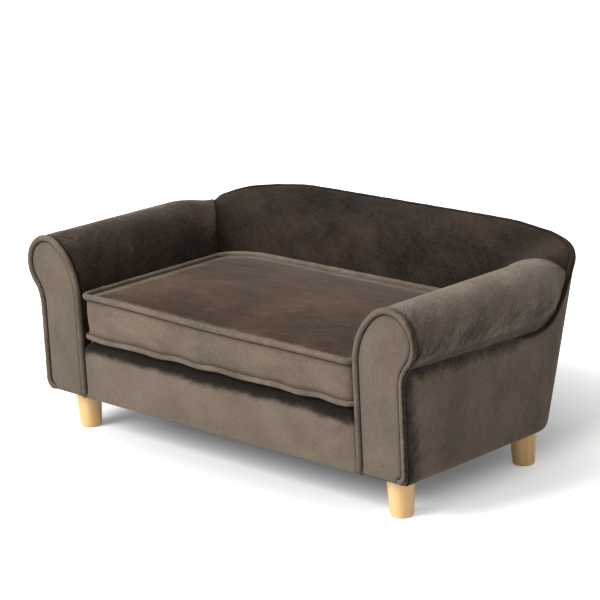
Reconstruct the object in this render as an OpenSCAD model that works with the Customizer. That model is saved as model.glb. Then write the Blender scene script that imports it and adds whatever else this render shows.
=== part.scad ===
// A small upholstered sofa bed for a pet: two scroll arms, a raked back that wraps
// round the rear corners, a padded front rail, a loose box cushion and four turned legs.
// The front faces -Y, +X is to the right, and the floor is at z = 0. Lengths in mm.

/* [Body] */
// Clear width of the seat between the arm pipings
seat_w = 504; // [420:2:640]
// Depth over everything, from the front piping to the back piping
body_d = 387.6; // [370:0.2:430]
// Height of the body's underside above the floor
leg_h = 54; // [40:1:70]
// Height of the platform that the cushion lies on
deck_h = 137.7; // [130:0.1:146]
// Height of the back over its piping
back_h = 286.2; // [280:0.2:310]
// Rake of the back in degrees
back_rake = 17; // [13:0.5:19]
// Width of a rounded rear corner seen from above
corner_w = 98; // [85:1:110]
// Depth of a rounded rear corner seen from above
corner_d = 64; // [56:1:72]

/* [Arms] */
// Thickness of an arm at its foot, over its piping
arm_w = 81.5; // [76:0.5:92]
// Height of an arm's crown over its piping
arm_h = 274; // [266:1:280]
// How far the roll stands out past the arm's foot
roll_out = 21.5; // [17:0.5:25]
// Radius of the long curve from the inner wall up into the roll
inner_r = 88; // [80:1:98]
// Radius of the hollow neck under the roll
neck_r = 40; // [34:1:48]

/* [Cushion] */
// Height of the cushion from its underside to its top piping
cushion_h = 66; // [56:1:72]
// Rise of the cushion's crown over its piping
crown_h = 9; // [4:0.5:12]
// Radius of the cushion's front corners
cushion_corner_r = 14; // [12:1:22]
// Gap between the cushion and each arm
cushion_gap = 1; // [0.6:0.1:2]

/* [Piping] */
// Diameter of all the piping
piping_d = 8; // [6.5:0.5:9]

/* [Front rail] */
// Height of the padded rail's top above the floor
rail_h = 136; // [126:1:136]
// Thickness of the rail's padding with its cover
rail_pad_t = 16; // [14:1:20]
// Radius of the rail's rounded top edge
rail_edge_r = 13; // [8:1:13]
// Radius of the rail's rounded upper ends
rail_end_r = 18; // [12:1:24]

/* [Legs] */
// Diameter of a leg at its top
leg_top_d = 36; // [32:1:40]
// Diameter of a leg at its foot
leg_foot_d = 29.2; // [24:0.2:31]
// Distance of a leg's axis from the seat's side of its arm
leg_inset = 38; // [36:1:41]
// Distance of a front leg's axis from the front of the piping
front_leg_inset = 39; // [36:1:60]
// Distance of a rear leg's axis from the back of the body's underside
rear_leg_inset = 45; // [40:1:60]

/* [Materials] */
// Thickness of the velvet with its backing
cloth_t = 2; // [1.4:0.1:2.4]
// Thickness of the foam wrapped over an arm
arm_foam_t = 10; // [8:0.5:12]
// Thickness of the base board
base_t = 12; // [9:1:14]
// Thickness of the seat board
seat_board_t = 10; // [8:1:12]
// Thickness of the rail boards and of the scroll formers
board_t = 12; // [9:1:14]
// Thickness of the inner arm boards
arm_board_t = 9; // [7:0.5:10]
// Thickness of the bent back panel
panel_t = 5; // [4:0.5:6]

/* [Hidden] */

// Gap between layers that lie on each other
fit = 0.3;
// Allowance for the flats of curved pieces that lie on each other
flats = 0.5;
// Overrun of every cut past the face that it opens
over = 1;
// Radius of the piping
piping_r = piping_d / 2;
// How far the piping stands proud of the covers
proud = 1;
// Thickness of the dust cover under the body
dust_t = 1.5;
// Thickness of the cloth on the platform
deck_t = 1.5;
// Depth of the facing's face behind the front of the piping
facing_back = 3;
// Radius of the piping's turn under an arm's outer lower corner
foot_r = 16;
// How far the covers curl in at their lower edge
curl_in = 5;
// Height over which the covers curl in
curl_h = 9;
// Overhang that the roll keeps where its end meets the back
roll_end_out = 4;
// Addition to half the arm's thickness that gives the roll's radius
roll_spread = 1.25;
roll_r = arm_w / 2 + roll_spread;
// Length, from front to back, over which the back's edge rises
rise_l = 143;
// Distance from the outer cover, at the back, to where the edge is level
rise_end = 4;
// Share of the rise that is steep, share of the length that it takes, and its shape
steep_share = 0.65;
steep_l_share = 0.72;
rise_bias = 1.7;
// Drop of the roll's crown towards the back
roll_drop = 6;
// Height of the crease under the roll above the neck's lower end, at its rear
crease_rear = 9;
// The same at the front
crease_front = 21;
// Turn round the rear corner, in degrees, at which the roll's end meets the back
seam_turn = 13;
// Angle in degrees of the roll's end, seen from above
seam_slant = 40;
// Thickness of the padded back at the platform
back_foot_t = 36;
// Width of the inside rear corner at the platform
inside_corner_w = 72;
// Gap between the cushion and the back at the platform
rear_gap = 9;
// Depth by which the cushion's band is drawn in behind its piping
band_in = 3;
// Swell of the band between its pipings
band_swell = 1.4;
// Shape of the crown's rise: above 2 it rises close to the piping
crown_power = 3;

front_y = -body_d / 2;
former_y = front_y + piping_d;
facing_t = piping_d - facing_back;
foam_in = proud + cloth_t + fit + flats;
former_in = foam_in + arm_foam_t - flats + fit;
half_seat = seat_w / 2;
side_x = half_seat + arm_w - proud;
base_z = leg_h + dust_t;
board_z = base_z + base_t;
piping_z = back_h - piping_r;
crown_c = [half_seat + arm_w + roll_out - roll_r, arm_h - roll_r];

// Counts along and across the curved covers
roll_steps = 24;
rise_steps = 6;
corner_steps = 8;
edge_steps = 12;
back_places = [2.5, 3];
inside_rows = 9;
tube_sides = 8;

// Where the outer face of the back is at height z
function back_y(z) = body_d / 2 - proud - (piping_z - z) * tan(back_rake);

level_y = back_y(piping_z) - rise_end;
rise_y = level_y - rise_l;

// A unit vector, a mix of two values, and an eased share from 0 to 1
function unit(v) = v / norm(v);
function mix(a, b, share) = a + (b - a) * share;
function ease(share) = (1 - cos(180 * share)) / 2;
function clip(share) = min(max(share, 0), 1);
function flip(points) = [for (i = [len(points) - 1:-1:0]) points[i]];
function mirrored(points) = [for (p = points) [-p.x, p.y, p.z]];

// Centres of the scroll's arcs, in width and height, for an overhang of the roll
function roll_c(out) = [half_seat + arm_w + out - roll_r,
  arm_h - roll_r - roll_drop * (roll_out - out) / (roll_out - roll_end_out)];
function inner_c(out) = let (c = roll_c(out), x = half_seat + inner_r)
  [x, c[1] - sqrt(pow(inner_r - roll_r, 2) - pow(x - c[0], 2))];
function neck_c(out) = let (c = roll_c(out), x = half_seat + arm_w + neck_r)
  [x, c[1] - sqrt(pow(neck_r + roll_r, 2) - pow(x - c[0], 2))];
function polar(c, r, a) = [c[0] + r * cos(a), c[1] + r * sin(a)];

// A point on the scroll, inset from the piping's outer edge, from the inner wall at
// share 0, over the roll, to the height end_z on its outer side at share 1
function scroll(share, inset, out, end_z) =
  let (rc = roll_c(out), ic = inner_c(out), nc = neck_c(out),
       a_in = atan2(rc[1] - ic[1], rc[0] - ic[0]),
       a_out = atan2(nc[1] - rc[1], nc[0] - rc[0]),
       ri = inner_r - inset, rr = roll_r - inset, rn = neck_r + inset,
       turn_z = rc[1] + rr * sin(a_out),
       on_roll = end_z >= turn_z,
       a_end = on_roll ? asin(min((end_z - rc[1]) / rr, 1)) : a_out,
       n_end = on_roll ? a_out + 180 : 180 - asin((end_z - nc[1]) / rn),
       l_in = ri * (180 - a_in),
       l_roll = rr * (a_in - a_end),
       l_neck = rn * (n_end - a_out - 180),
       l = share * (l_in + l_roll + l_neck))
  l <= l_in ? polar(ic, ri, 180 - l / ri)
  : l <= l_in + l_roll ? polar(rc, rr, a_in - (l - l_in) / rr)
  : polar(nc, rn, a_out + 180 + (l - l_in - l_roll) / rn);

neck_z = neck_c(roll_out)[1];
crease_z = neck_z + crease_rear;

// An arm's outline, inset from its piping's outer edge, down to the height foot_z
function arm_outline(inset, foot_z) = concat(
  [[half_seat + inset, foot_z]],
  [for (i = [0:roll_steps + 4]) scroll(i / (roll_steps + 4), inset, roll_out, neck_z)],
  [for (i = [0:4]) polar([half_seat + arm_w - foot_r, leg_h + foot_r],
                         max(foot_r - inset, fit), -i * 90 / 4)]);

// Height of the back's edge, where its piping runs, at the depth y
function edge_z(y) = let (share = clip((y - rise_y) / rise_l))
  y <= rise_y
  ? mix(neck_z + crease_front, crease_z, clip((y - front_y) / (rise_y - front_y)))
  : mix(crease_z, piping_z, steep_share * ease(pow(clip(share / steep_l_share), rise_bias))
                            + (1 - steep_share) * pow(share, 3));

// A place round the outer cover's plan: 0 at the front, 1 where the corner starts,
// 2 where it ends, 3 at the middle of the back
function plan(place, inset, z) =
  let (y = back_y(z), a = 90 * clip(place - 1))
  place < 1 ? [side_x - inset, mix(former_y + fit, y - corner_d, place), z]
  : place <= 2 ? [side_x - corner_w + (corner_w - inset) * cos(a),
                  y - corner_d + (corner_d - inset) * sin(a), z]
  : [mix(side_x - corner_w, 0, place - 2), y - inset, z];

// The height of the edge at a place, found by a few passes
function edge_at(place, inset, z, passes) = passes == 0 ? z
  : edge_at(place, inset, edge_z(plan(place, inset, z).y), passes - 1);

// The piping's line on the back's edge, with its tangent, and the two directions
// across it: inwards, and upwards in the face of the cover
function rim(place) = plan(place, piping_r - proud,
                           edge_at(place, piping_r - proud, arm_h, 6));
rim_step = 0.01;
function rim_along(place) = unit(rim(min(place + rim_step, 3)) - rim(place - rim_step));
function rim_out(place) = let (a = 90 * clip(place - 1)) [cos(a), sin(a), 0];
function rim_up(place) = let (v = unit(cross(rim_along(place), rim_out(place))))
  v.z < 0 ? -v : v;

// Places along the back's edge, from the start of the rise to the middle
rise_place = (rise_y - former_y - fit) / (back_y(crease_z) - corner_d - former_y - fit);
rise_places = [for (i = [0:rise_steps]) mix(rise_place, 1, i / rise_steps)];
edge_places = concat(rise_places, [for (i = [1:edge_steps]) 1 + i / edge_steps],
                     back_places);
seam_place = 1 + seam_turn / 90;

// Where the inside cover meets the piping at a place
rim_lap_angle = 35;
function lap(place) = rim(place) + (piping_r + fit + cloth_t)
  * (rim_up(place) * sin(rim_lap_angle) - rim_out(place) * cos(rim_lap_angle));
seam_p = lap(seam_place);
function seam_y(x) = seam_p.y + (x - seam_p.x) * tan(seam_slant);

// The roll's section on its way back: share 0 at the start of the rise, 1 at its end
function roll_depth(x, share) = mix(rise_y, seam_y(min(x, seam_p.x)), share);
function trim_z(share) = let (y = roll_depth(seam_p.x, share),
    slope = (edge_z(y + over) - edge_z(y - over)) / (2 * over))
  mix(edge_z(y) + (piping_r + fit) * sqrt(1 + slope * slope), seam_p.z, pow(share, 3));
function roll_section(inset, share, lift) =
  let (out = mix(roll_out, roll_end_out, ease(share)),
       end_z = max(trim_z(share), neck_c(out)[1] + fit) + lift * (1 - share),
       pull = (seam_p.x - scroll(1, proud, out, end_z)[0]) * share)
  [for (i = [0:roll_steps])
    let (s = i / roll_steps, p = scroll(s, inset, out, end_z))
    [p[0] + pull * pow(s, 4), p[1]]];
function roll_row(inset, share, foot_z, lift = 0) =
  let (s = roll_section(inset, share, lift), x0 = s[0][0])
  concat([[x0, roll_depth(x0, share), foot_z]],
         [for (p = s) [p[0], roll_depth(p[0], share), p[1]]]);
function front_row(inset, y, foot_z, lift) =
  let (s = [for (i = [0:roll_steps])
         scroll(i / roll_steps, inset, roll_out, neck_z + crease_front + lift)])
  concat([[s[0][0], y, foot_z]], [for (p = s) [p[0], y, p[1]]]);
roll_shares = [for (i = [0:rise_steps]) i / rise_steps];
cover_y = front_y + piping_d + fit;
function roll_grid(inset, foot_z, y, lift) = concat(
  [front_row(inset, y, foot_z, lift)],
  [for (s = roll_shares) [for (p = roll_row(inset, s, foot_z, lift))
    p - [0, fit * s, 0]]]);

// The closed solid between two grids of points of one size
function grid_faces(n, m, start, turned) = [
  for (i = [0:n - 2], j = [0:m - 2])
    let (a = start + i * m + j, b = a + m, c = b + 1, d = a + 1)
    each turned ? [[a, c, b], [a, d, c]] : [[a, b, c], [a, c, d]]];
function strip_faces(a, b) = [
  for (i = [0:len(a) - 2]) each [[a[i], a[i + 1], b[i]], [a[i + 1], b[i + 1], b[i]]]];
module between(front, rear) {
  n = len(front);
  m = len(front[0]);
  k = n * m;
  first = [for (j = [0:m - 1]) j];
  last = [for (j = [m - 1:-1:0]) (n - 1) * m + j];
  low = [for (i = [n - 1:-1:0]) i * m];
  high = [for (i = [0:n - 1]) i * m + m - 1];
  polyhedron(
    [for (g = [front, rear], row = g) each row],
    concat(grid_faces(n, m, 0, false), grid_faces(n, m, k, true),
           [for (edge = [first, high, last, low])
             each strip_faces(edge, [for (i = edge) i + k])]));
}

// A ring of points swept through a list of rings, joined end to end or capped
function ring_faces(n, m, closed) = [
  for (i = [0:n - (closed ? 1 : 2)], j = [0:m - 1])
    let (a = i * m + j, b = i * m + (j + 1) % m,
         c = ((i + 1) % n) * m + (j + 1) % m, d = ((i + 1) % n) * m + j)
    each [[a, b, c], [a, c, d]]];
function mid(points) = let (n = len(points)) [for (k = [0:2])
  [for (i = 0, s = 0; i < n; s = s + points[i][k], i = i + 1) s + points[i][k]][n - 1] / n];
module loft(rings, closed = false) {
  n = len(rings);
  m = len(rings[0]);
  k = n * m;
  ends = closed ? [] : [mid(rings[0]), mid(rings[n - 1])];
  caps = closed ? [] : [for (j = [0:m - 1])
    each [[k, (j + 1) % m, j], [k + 1, k - m + j, k - m + (j + 1) % m]]];
  polyhedron(concat([for (r = rings) each r], ends),
             concat(ring_faces(n, m, closed), caps));
}

// A round cord along a path; across is never along the path
module cord(path, across, closed = false) {
  n = len(path);
  loft([for (i = [0:n - 1])
    let (before = path[closed ? (i + n - 1) % n : max(i - 1, 0)],
         after = path[closed ? (i + 1) % n : min(i + 1, n - 1)],
         t = unit(after - before), u = unit(cross(t, across)), v = cross(t, u))
    [for (j = [0:tube_sides - 1]) let (a = 360 * j / tube_sides)
      path[i] + piping_r * (u * cos(a) - v * sin(a))]], closed);
}

module both_arms(side) {
  if (side > 0) children();
  else mirror([1, 0, 0]) children();
}

// Legs and what holds them

// Radius of the hanger bolt, and its running gap in wood and nut
bolt_r = 3;
bolt_gap = 0.05;
// Depth of the bolt in the leg
bolt_deep = 26;
// Radius of the tee nut's barrel and flange, and the flange's thickness
nut_r = 4.2;
nut_flange_r = 9;
nut_flange_t = 1.6;
// Easing of a leg's lower edge
leg_ease = 1.6;
// Height of a leg block
block_h = 20;
leg_x = half_seat + leg_inset;
front_leg_y = front_y + front_leg_inset;
rear_leg_y = back_y(leg_h) - rear_leg_inset;
leg_places = [[-leg_x, front_leg_y], [leg_x, front_leg_y],
              [-leg_x, rear_leg_y], [leg_x, rear_leg_y]];
arm_board_x = half_seat + former_in;
block_w = 2 * (leg_x - arm_board_x - arm_board_t);
block_d = 2 * (front_leg_y - former_y - board_t);
round_fn = 64;

module leg(place) {
  color("burlywood") translate([place[0], place[1], 0]) difference() {
    rotate_extrude($fn = round_fn) polygon([
      [0, 0], [leg_foot_d / 2 - leg_ease, 0], [leg_foot_d / 2, leg_ease],
      [leg_top_d / 2, leg_h], [0, leg_h]]);
    translate([0, 0, leg_h - bolt_deep])
      cylinder(r = bolt_r + bolt_gap, h = bolt_deep + over, $fn = round_fn);
  }
}

module hanger_bolts() {
  color("silver") for (p = leg_places) translate([p[0], p[1], leg_h - bolt_deep])
    cylinder(r = bolt_r, h = bolt_deep + dust_t + base_t + block_h, $fn = round_fn);
}

module tee_nuts() {
  color("gray") for (p = leg_places) translate([p[0], p[1], board_z]) difference() {
    union() {
      cylinder(r = nut_r - bolt_gap, h = block_h, $fn = round_fn);
      translate([0, 0, block_h])
        cylinder(r = nut_flange_r, h = nut_flange_t, $fn = round_fn);
    }
    translate([0, 0, -over]) cylinder(r = bolt_r + bolt_gap,
      h = block_h + nut_flange_t + 2 * over, $fn = round_fn);
  }
}

// A rear block reaches forward as far as a front one, or to the arm's rear former
module leg_blocks() {
  color("wheat") for (p = leg_places) difference() {
    y0 = p[1] < 0 ? p[1] - block_d / 2 : max(p[1] - block_d / 2, rise_y + fit);
    translate([p[0] - block_w / 2, y0, board_z])
      cube([block_w, p[1] + block_d / 2 - y0, block_h]);
    translate([p[0], p[1], board_z - over])
      cylinder(r = nut_r, h = block_h + 2 * over, $fn = round_fn);
  }
}

// The plan of what lies inside the covers, at the height z, as points for a polygon
function footprint(inset, z, y0) = let (
    half = concat([[side_x - inset, y0]],
      [for (i = [0:corner_steps]) let (p = plan(1 + i / corner_steps, inset, z)) [p.x, p.y]]))
  concat(half, [for (p = flip(half)) [-p[0], p[1]]]);
inner_in = cloth_t + curl_in + fit;
rail_y = front_y + facing_back;
rail_board_y = rail_y + rail_pad_t;
module rail_notch(z, h) {
  translate([-half_seat, former_y - over, z - over])
    cube([seat_w, rail_board_y - former_y + over, h + 2 * over]);
}

module base_board() {
  color("wheat") difference() {
    translate([0, 0, base_z]) linear_extrude(base_t)
      polygon(footprint(inner_in, base_z, former_y));
    rail_notch(base_z, base_t);
    for (p = leg_places) translate([p[0], p[1], base_z - over])
      cylinder(r = bolt_r + bolt_gap, h = base_t + 2 * over, $fn = round_fn);
  }
}

module dust_cover() {
  color("dimgray") difference() {
    translate([0, 0, leg_h]) linear_extrude(dust_t)
      polygon(footprint(inner_in, leg_h, former_y));
    rail_notch(leg_h, dust_t);
    for (p = leg_places) translate([p[0], p[1], leg_h - over])
      cylinder(r = bolt_r + bolt_gap, h = dust_t + 2 * over, $fn = round_fn);
  }
}

// Staples along the dust cover's edge: crown length, wire, and distance from the edge
staple_w = 10;
staple_wire = 0.7;
staple_in = 8;
staple_count = 9;
module cover_staples() {
  y_front = rail_board_y + staple_in;
  y_rear = back_y(leg_h) - inner_in - staple_in;
  color("silver") for (y = [y_front, y_rear], i = [0:staple_count - 1])
    translate([mix(-half_seat, half_seat, (i + 1 / 2) / staple_count) - staple_w / 2,
               y, leg_h - staple_wire])
      cube([staple_w, staple_wire, staple_wire]);
}

// Boards of the seat

seat_board_z = deck_h - deck_t - seat_board_t;
rear_board_y = back_y(deck_h) - back_foot_t - board_t;

module front_rail_board() {
  color("wheat") translate([-half_seat, rail_board_y, board_z])
    cube([seat_w, board_t, seat_board_z - board_z]);
}

module rear_rail_board() {
  color("wheat") translate([-half_seat, rear_board_y, board_z])
    cube([seat_w, board_t, seat_board_z - board_z]);
}

module centre_brace() {
  y0 = rail_board_y + board_t;
  color("wheat") translate([-board_t / 2, y0, board_z])
    cube([board_t, rear_board_y - y0, seat_board_z - board_z]);
}

module seat_board() {
  color("wheat") translate([-half_seat, rail_board_y, seat_board_z])
    cube([seat_w, rear_board_y + board_t - rail_board_y, seat_board_t]);
}

module deck_cloth() {
  color("dimgray") translate([-half_seat, rail_board_y, seat_board_z + seat_board_t])
    cube([seat_w, rear_board_y + board_t - rail_board_y, deck_t]);
}

// Arms

rear_former_y = rise_y - board_t;
tube_r = roll_r - former_in - cloth_t;
tube_wall = 2.5;
tack_w = 12;
tack_h = 20;
tack_x = half_seat + arm_w - former_in - tack_w;

module arm_former(y) {
  translate([0, y + board_t, 0]) rotate([90, 0, 0]) linear_extrude(board_t)
    polygon(arm_outline(former_in, board_z));
}

module arm_formers(side) {
  color("tan") both_arms(side) {
    arm_former(former_y);
    arm_former(rear_former_y);
  }
}

module arm_board(side) {
  y0 = former_y + board_t;
  color("wheat") both_arms(side) translate([arm_board_x, y0, board_z])
    cube([arm_board_t, rear_former_y - y0, neck_z - board_z]);
}

module roll_tube(side) {
  y0 = former_y + board_t;
  color("peru") both_arms(side) translate([crown_c[0], rear_former_y, crown_c[1]])
    rotate([90, 0, 0]) difference() {
      cylinder(r = tube_r, h = rear_former_y - y0, $fn = round_fn);
      translate([0, 0, -over]) cylinder(r = tube_r - tube_wall,
        h = rear_former_y - y0 + 2 * over, $fn = round_fn);
    }
}

module tack_rail(side) {
  y0 = former_y + board_t;
  color("wheat") both_arms(side) translate([tack_x, y0, neck_z - tack_h])
    cube([tack_w, rear_former_y - y0, tack_h]);
}

// How far the outer cover runs up behind the roll's lower edge
tuck_h = 5;

module arm_cover(side) {
  color("rosybrown") both_arms(side) between(
    roll_grid(proud, board_z, cover_y, 0),
    roll_grid(proud + cloth_t, board_z, cover_y, 0));
}

module arm_foam(side) {
  color("khaki") both_arms(side) between(
    roll_grid(foam_in, board_z, former_y + fit, tuck_h + fit),
    roll_grid(foam_in + arm_foam_t - flats, board_z, former_y + fit, tuck_h + fit));
}

module arm_facing(side) {
  color("gray") both_arms(side) translate([0, former_y, 0]) rotate([90, 0, 0])
    linear_extrude(facing_t) polygon(concat(arm_outline(piping_d + fit, base_z),
      [for (z = [leg_h + piping_d + fit, base_z])
        [half_seat + arm_w - foot_r - 3 * fit, z]]));
}

module arm_piping(side) {
  path = [for (p = arm_outline(piping_r, leg_h)) [p[0], front_y + piping_r, p[1]]];
  color("dimgray") both_arms(side) cord(path, [0, 1, 0]);
}

// The back

// One half of a grid from the seam to the middle, and its mirror image
function whole(half) = concat(half,
  [for (i = [len(half) - 2:-1:0]) mirrored(half[i])]);

// The inside cover is a Coons patch between four curves: the roll's end, the padded
// middle of the back, the platform's edge and the piping
inside_foot_y = back_y(deck_h) - back_foot_t;
wall_x = half_seat + proud;
foot_y0 = seam_y(wall_x);
foot_z = deck_h + fit;
inside_shares = [for (i = [0:corner_steps]) i / corner_steps / 2, 0.66, 0.83, 1];
function foot_curve(u) = let (a = 90 * clip(2 * u))
  u <= 1 / 2 ? [wall_x - inside_corner_w * (1 - cos(a)),
                foot_y0 + (inside_foot_y - foot_y0) * sin(a), foot_z]
  : [mix(wall_x - inside_corner_w, 0, 2 * u - 1), inside_foot_y, foot_z];
function top_curve(u) = lap(u <= 1 / 2 ? mix(seam_place, 2, 2 * u) : 1 + 2 * u);
end_row = roll_row(proud, 1, foot_z);
function end_curve(v) = let (s = v * (len(end_row) - 1), i = min(floor(s), len(end_row) - 2))
  mix(end_row[i], end_row[i + 1], s - i);
// Fullness of the back's padding: how far its middle stands in front of a straight line
back_full = 9;
function middle_curve(v) = let (foot = foot_curve(1), top = top_curve(1))
  [0, mix(foot.y, top.y, pow(v, 1.7)) - back_full * sin(180 * v) * (1 - v),
   mix(foot.z, top.z, sin(90 * pow(v, 0.9)))];
// The lift that the piping's curve gives the patch starts late, so that the corner stays hollow
lift_power = 5;
function patch(u, v) = let (w = [v, v, pow(v, lift_power)],
    low = foot_curve(u) - mix(end_curve(0), middle_curve(0), u),
    high = top_curve(u) - mix(end_curve(1), middle_curve(1), u))
  mix(end_curve(v), middle_curve(v), u)
  + [for (k = [0:2]) low[k] * (1 - w[k]) + high[k] * w[k]];
patch_step = 0.02;
function patch_out(u, v) =
  let (u0 = max(u - patch_step, 0), u1 = min(u + patch_step, 1),
       v0 = max(v - patch_step, 0), v1 = min(v + patch_step, 1))
  unit(cross(patch(u1, v) - patch(u0, v), patch(u, v1) - patch(u, v0)));
function inside_grid(depth, rows) = whole([for (u = inside_shares)
  [for (j = [0:rows]) let (v = j / inside_rows,
      p = patch(u, v) + depth * patch_out(u, v))
    [p.x, max(p.y, seam_y(min(p.x, seam_p.x)) + fit + depth), max(p.z, foot_z)]]]);

module inside_back_cover() {
  color("rosybrown") between(inside_grid(0, inside_rows), inside_grid(cloth_t, inside_rows));
}

panel_in = cloth_t + fit;
foam_back_in = panel_in + panel_t + fit + flats;
foam_rows = inside_rows - 1;
// Drop of the foam's and the panel's top below the piping's line
foam_drop = 9;
// Where the plane of the roll's end meets the inner side of the back at height z
function seam_place_at(z, low, high, passes) = let (m = (low + high) / 2, p = plan(m, foam_back_in, z))
  passes == 0 ? m
  : p.y > seam_y(p.x) + cloth_t + 2 * fit ? seam_place_at(z, low, m, passes - 1)
  : seam_place_at(z, m, high, passes - 1);
function foam_back_grid() = whole([for (u = inside_shares)
  let (top = rim(u <= 1 / 2 ? mix(seam_place, 2, 2 * u) : 1 + 2 * u).z - foam_drop)
  [for (j = [0:foam_rows]) let (z = mix(foot_z, top, j / foam_rows),
      place = u <= 1 / 2 ? mix(seam_place_at(z, 1, 2, 12), 2, 2 * u) : 1 + 2 * u)
    plan(place, foam_back_in, z)]]);
module back_foam() {
  color("khaki") between(inside_grid(cloth_t + fit, foam_rows), foam_back_grid());
}

// Places of the outer cover's and the panel's columns, from the front to the middle
cover_places = concat([0, rise_place - rim_step], edge_places);
function skirt_low(place, inset) = [
  plan(place, inset + curl_in, leg_h),
  plan(place, inset + curl_in / 3, leg_h + curl_h / 2),
  plan(place, inset, leg_h + curl_h)];
function cover_top(place, inset) = place < rise_place
  ? plan(place, inset, edge_z(plan(place, inset, crease_z).y) + tuck_h)
  : plan(place, inset, rim(place).z - (piping_r + fit + flats)
                       / (rim_up(place) * [0, tan(back_rake), 1]));
function cover_column(place, inset) = let (top = cover_top(place, inset).z)
  concat(skirt_low(place, inset),
         [for (s = [1 / 3, 2 / 3, 1]) plan(place, inset, mix(leg_h + curl_h, top, s))]);
module outer_cover() {
  color("gray") between(whole([for (p = cover_places) cover_column(p, cloth_t)]),
                        whole([for (p = cover_places) cover_column(p, 0)]));
}

function panel_column(place, inset) =
  let (top = cover_top(place, inset).z - piping_r)
  [for (s = [0, 1 / 2, 1]) plan(place, inset, mix(board_z, top, s))];
module back_panel() {
  color("tan") between(
    whole([for (p = edge_places) panel_column(p, panel_in + panel_t)]),
    whole([for (p = edge_places) panel_column(p, panel_in)]));
}

module back_piping() {
  half = [for (p = edge_places) rim(p)];
  color("dimgray") cord(concat(half, flip(mirrored([for (i = [0:len(half) - 2]) half[i]]))),
                        [0, 0, 1]);
}

// Front rail

rail_gap = 0.6;
module rail_form(inset, past) {
  w = 2 * (half_seat - rail_gap - inset);
  z1 = rail_h - inset;
  r = rail_edge_r - inset;
  e = rail_end_r - inset;
  intersection() {
    translate([-w / 2, 0, 0]) rotate([90, 0, 90]) linear_extrude(w) union() {
      translate([rail_y + inset + r, leg_h - past])
        square([rail_pad_t + past - inset - r, z1 - leg_h + past]);
      translate([rail_y + inset, leg_h - past]) square([r, z1 - r - leg_h + past]);
      translate([rail_y + inset + r, z1 - r]) circle(r = r, $fn = round_fn);
    }
    translate([0, rail_y + rail_pad_t + past, 0]) rotate([90, 0, 0])
      linear_extrude(rail_pad_t + past + over) union() {
        translate([-w / 2, leg_h - past]) square([w, z1 - e - leg_h + past]);
        translate([-w / 2 + e, z1 - e]) square([w - 2 * e, e]);
        for (x = [-w / 2 + e, w / 2 - e])
          translate([x, z1 - e]) circle(r = e, $fn = round_fn);
      }
  }
}

module front_rail_cover() {
  color("gray") difference() {
    rail_form(0, 0);
    rail_form(cloth_t, over);
  }
}

module front_rail_foam() {
  color("khaki") intersection() {
    rail_form(cloth_t, 0);
    translate([-half_seat, rail_y, board_z])
      cube([seat_w, rail_pad_t, rail_h - board_z]);
  }
}

// Cushion

cushion_z = deck_h + fit;
cushion_x = half_seat - cushion_gap;
cushion_front = front_y;
cushion_rear = inside_foot_y - rear_gap;
low_piping_z = cushion_z + piping_r;
top_piping_z = cushion_z + cushion_h - piping_r;
front_corner_steps = 4;
rear_corner_steps = 7;
rear_corner_y = foot_y0 + (cushion_x - wall_x) * tan(seam_slant) - rear_gap;
front_parts = 8;
side_parts = 3;

// The cushion's plan, inset from its piping's outer edge, as points at the height z
function cushion_half(inset) = concat(
  [for (i = [0:front_parts / 2]) [i * (cushion_x - cushion_corner_r) * 2 / front_parts,
                                  cushion_front + inset]],
  [for (i = [1:front_corner_steps])
    polar([cushion_x - cushion_corner_r, cushion_front + cushion_corner_r],
          cushion_corner_r - inset, -90 + 90 * i / front_corner_steps)],
  [for (i = [1:side_parts]) [cushion_x - inset,
    mix(cushion_front + cushion_corner_r, rear_corner_y, i / side_parts)]],
  [for (i = [1:rear_corner_steps]) let (a = 90 * i / rear_corner_steps)
    [cushion_x - inside_corner_w + (inside_corner_w - inset) * cos(a),
     rear_corner_y + (cushion_rear - rear_corner_y - inset) * sin(a)]],
  [for (i = [1:side_parts]) [mix(cushion_x - inside_corner_w, 0, i / side_parts),
                             cushion_rear - inset]]);
function cushion_ring(inset, z) = let (half = cushion_half(inset), n = len(half))
  concat([for (p = half) [p[0], p[1], z]],
         [for (i = [n - 2:-1:1]) [-half[i][0], half[i][1], z]]);
cushion_mid = [0, (cushion_front + cushion_rear) / 2, 0];
function shrink_ring(ring, share, z) = [for (p = ring)
  [mix(cushion_mid.x, p.x, share), mix(cushion_mid.y, p.y, share), z]];
function crown_z(share, low) = low + crown_h * (1 - pow(share, crown_power));
crown_shares = [1, 0.96, 0.88, 0.76, 0.6, 0.4, 0.2];
top_in = piping_d + fit;

module cushion_top_panel() {
  ring = cushion_ring(top_in, 0);
  color("rosybrown") loft(concat(
    [for (s = flip(crown_shares)) shrink_ring(ring, s, crown_z(s, top_piping_z))],
    [for (s = crown_shares)
      shrink_ring(ring, s, crown_z(s, top_piping_z - cloth_t))]));
}

module cushion_bottom_panel() {
  color("gray") loft([cushion_ring(top_in, cushion_z + cloth_t),
                      cushion_ring(top_in, cushion_z)]);
}

band_low = low_piping_z + piping_r + fit;
band_high = top_piping_z - piping_r - fit;
band_shares = [0, 1 / 3, 2 / 3, 1];
function band_inset(share, depth) = band_in + depth - band_swell * sin(180 * share);
module cushion_band() {
  color("gray") loft(concat(
    [for (s = flip(band_shares)) cushion_ring(band_inset(s, 0), mix(band_low, band_high, s))],
    [for (s = band_shares)
      cushion_ring(band_inset(s, cloth_t), mix(band_low, band_high, s))]), true);
}

module cushion_foam() {
  gap = cloth_t + fit;
  ring = cushion_ring(top_in + fit, 0);
  color("khaki") loft(concat(
    [for (s = flip(crown_shares)) shrink_ring(ring, s, crown_z(s, top_piping_z - gap))],
    [for (s = flip(band_shares))
      cushion_ring(band_inset(s, gap), mix(band_low, band_high, s))],
    [for (z = [band_low - fit, cushion_z + gap]) cushion_ring(top_in + fit, z)]));
}

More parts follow.
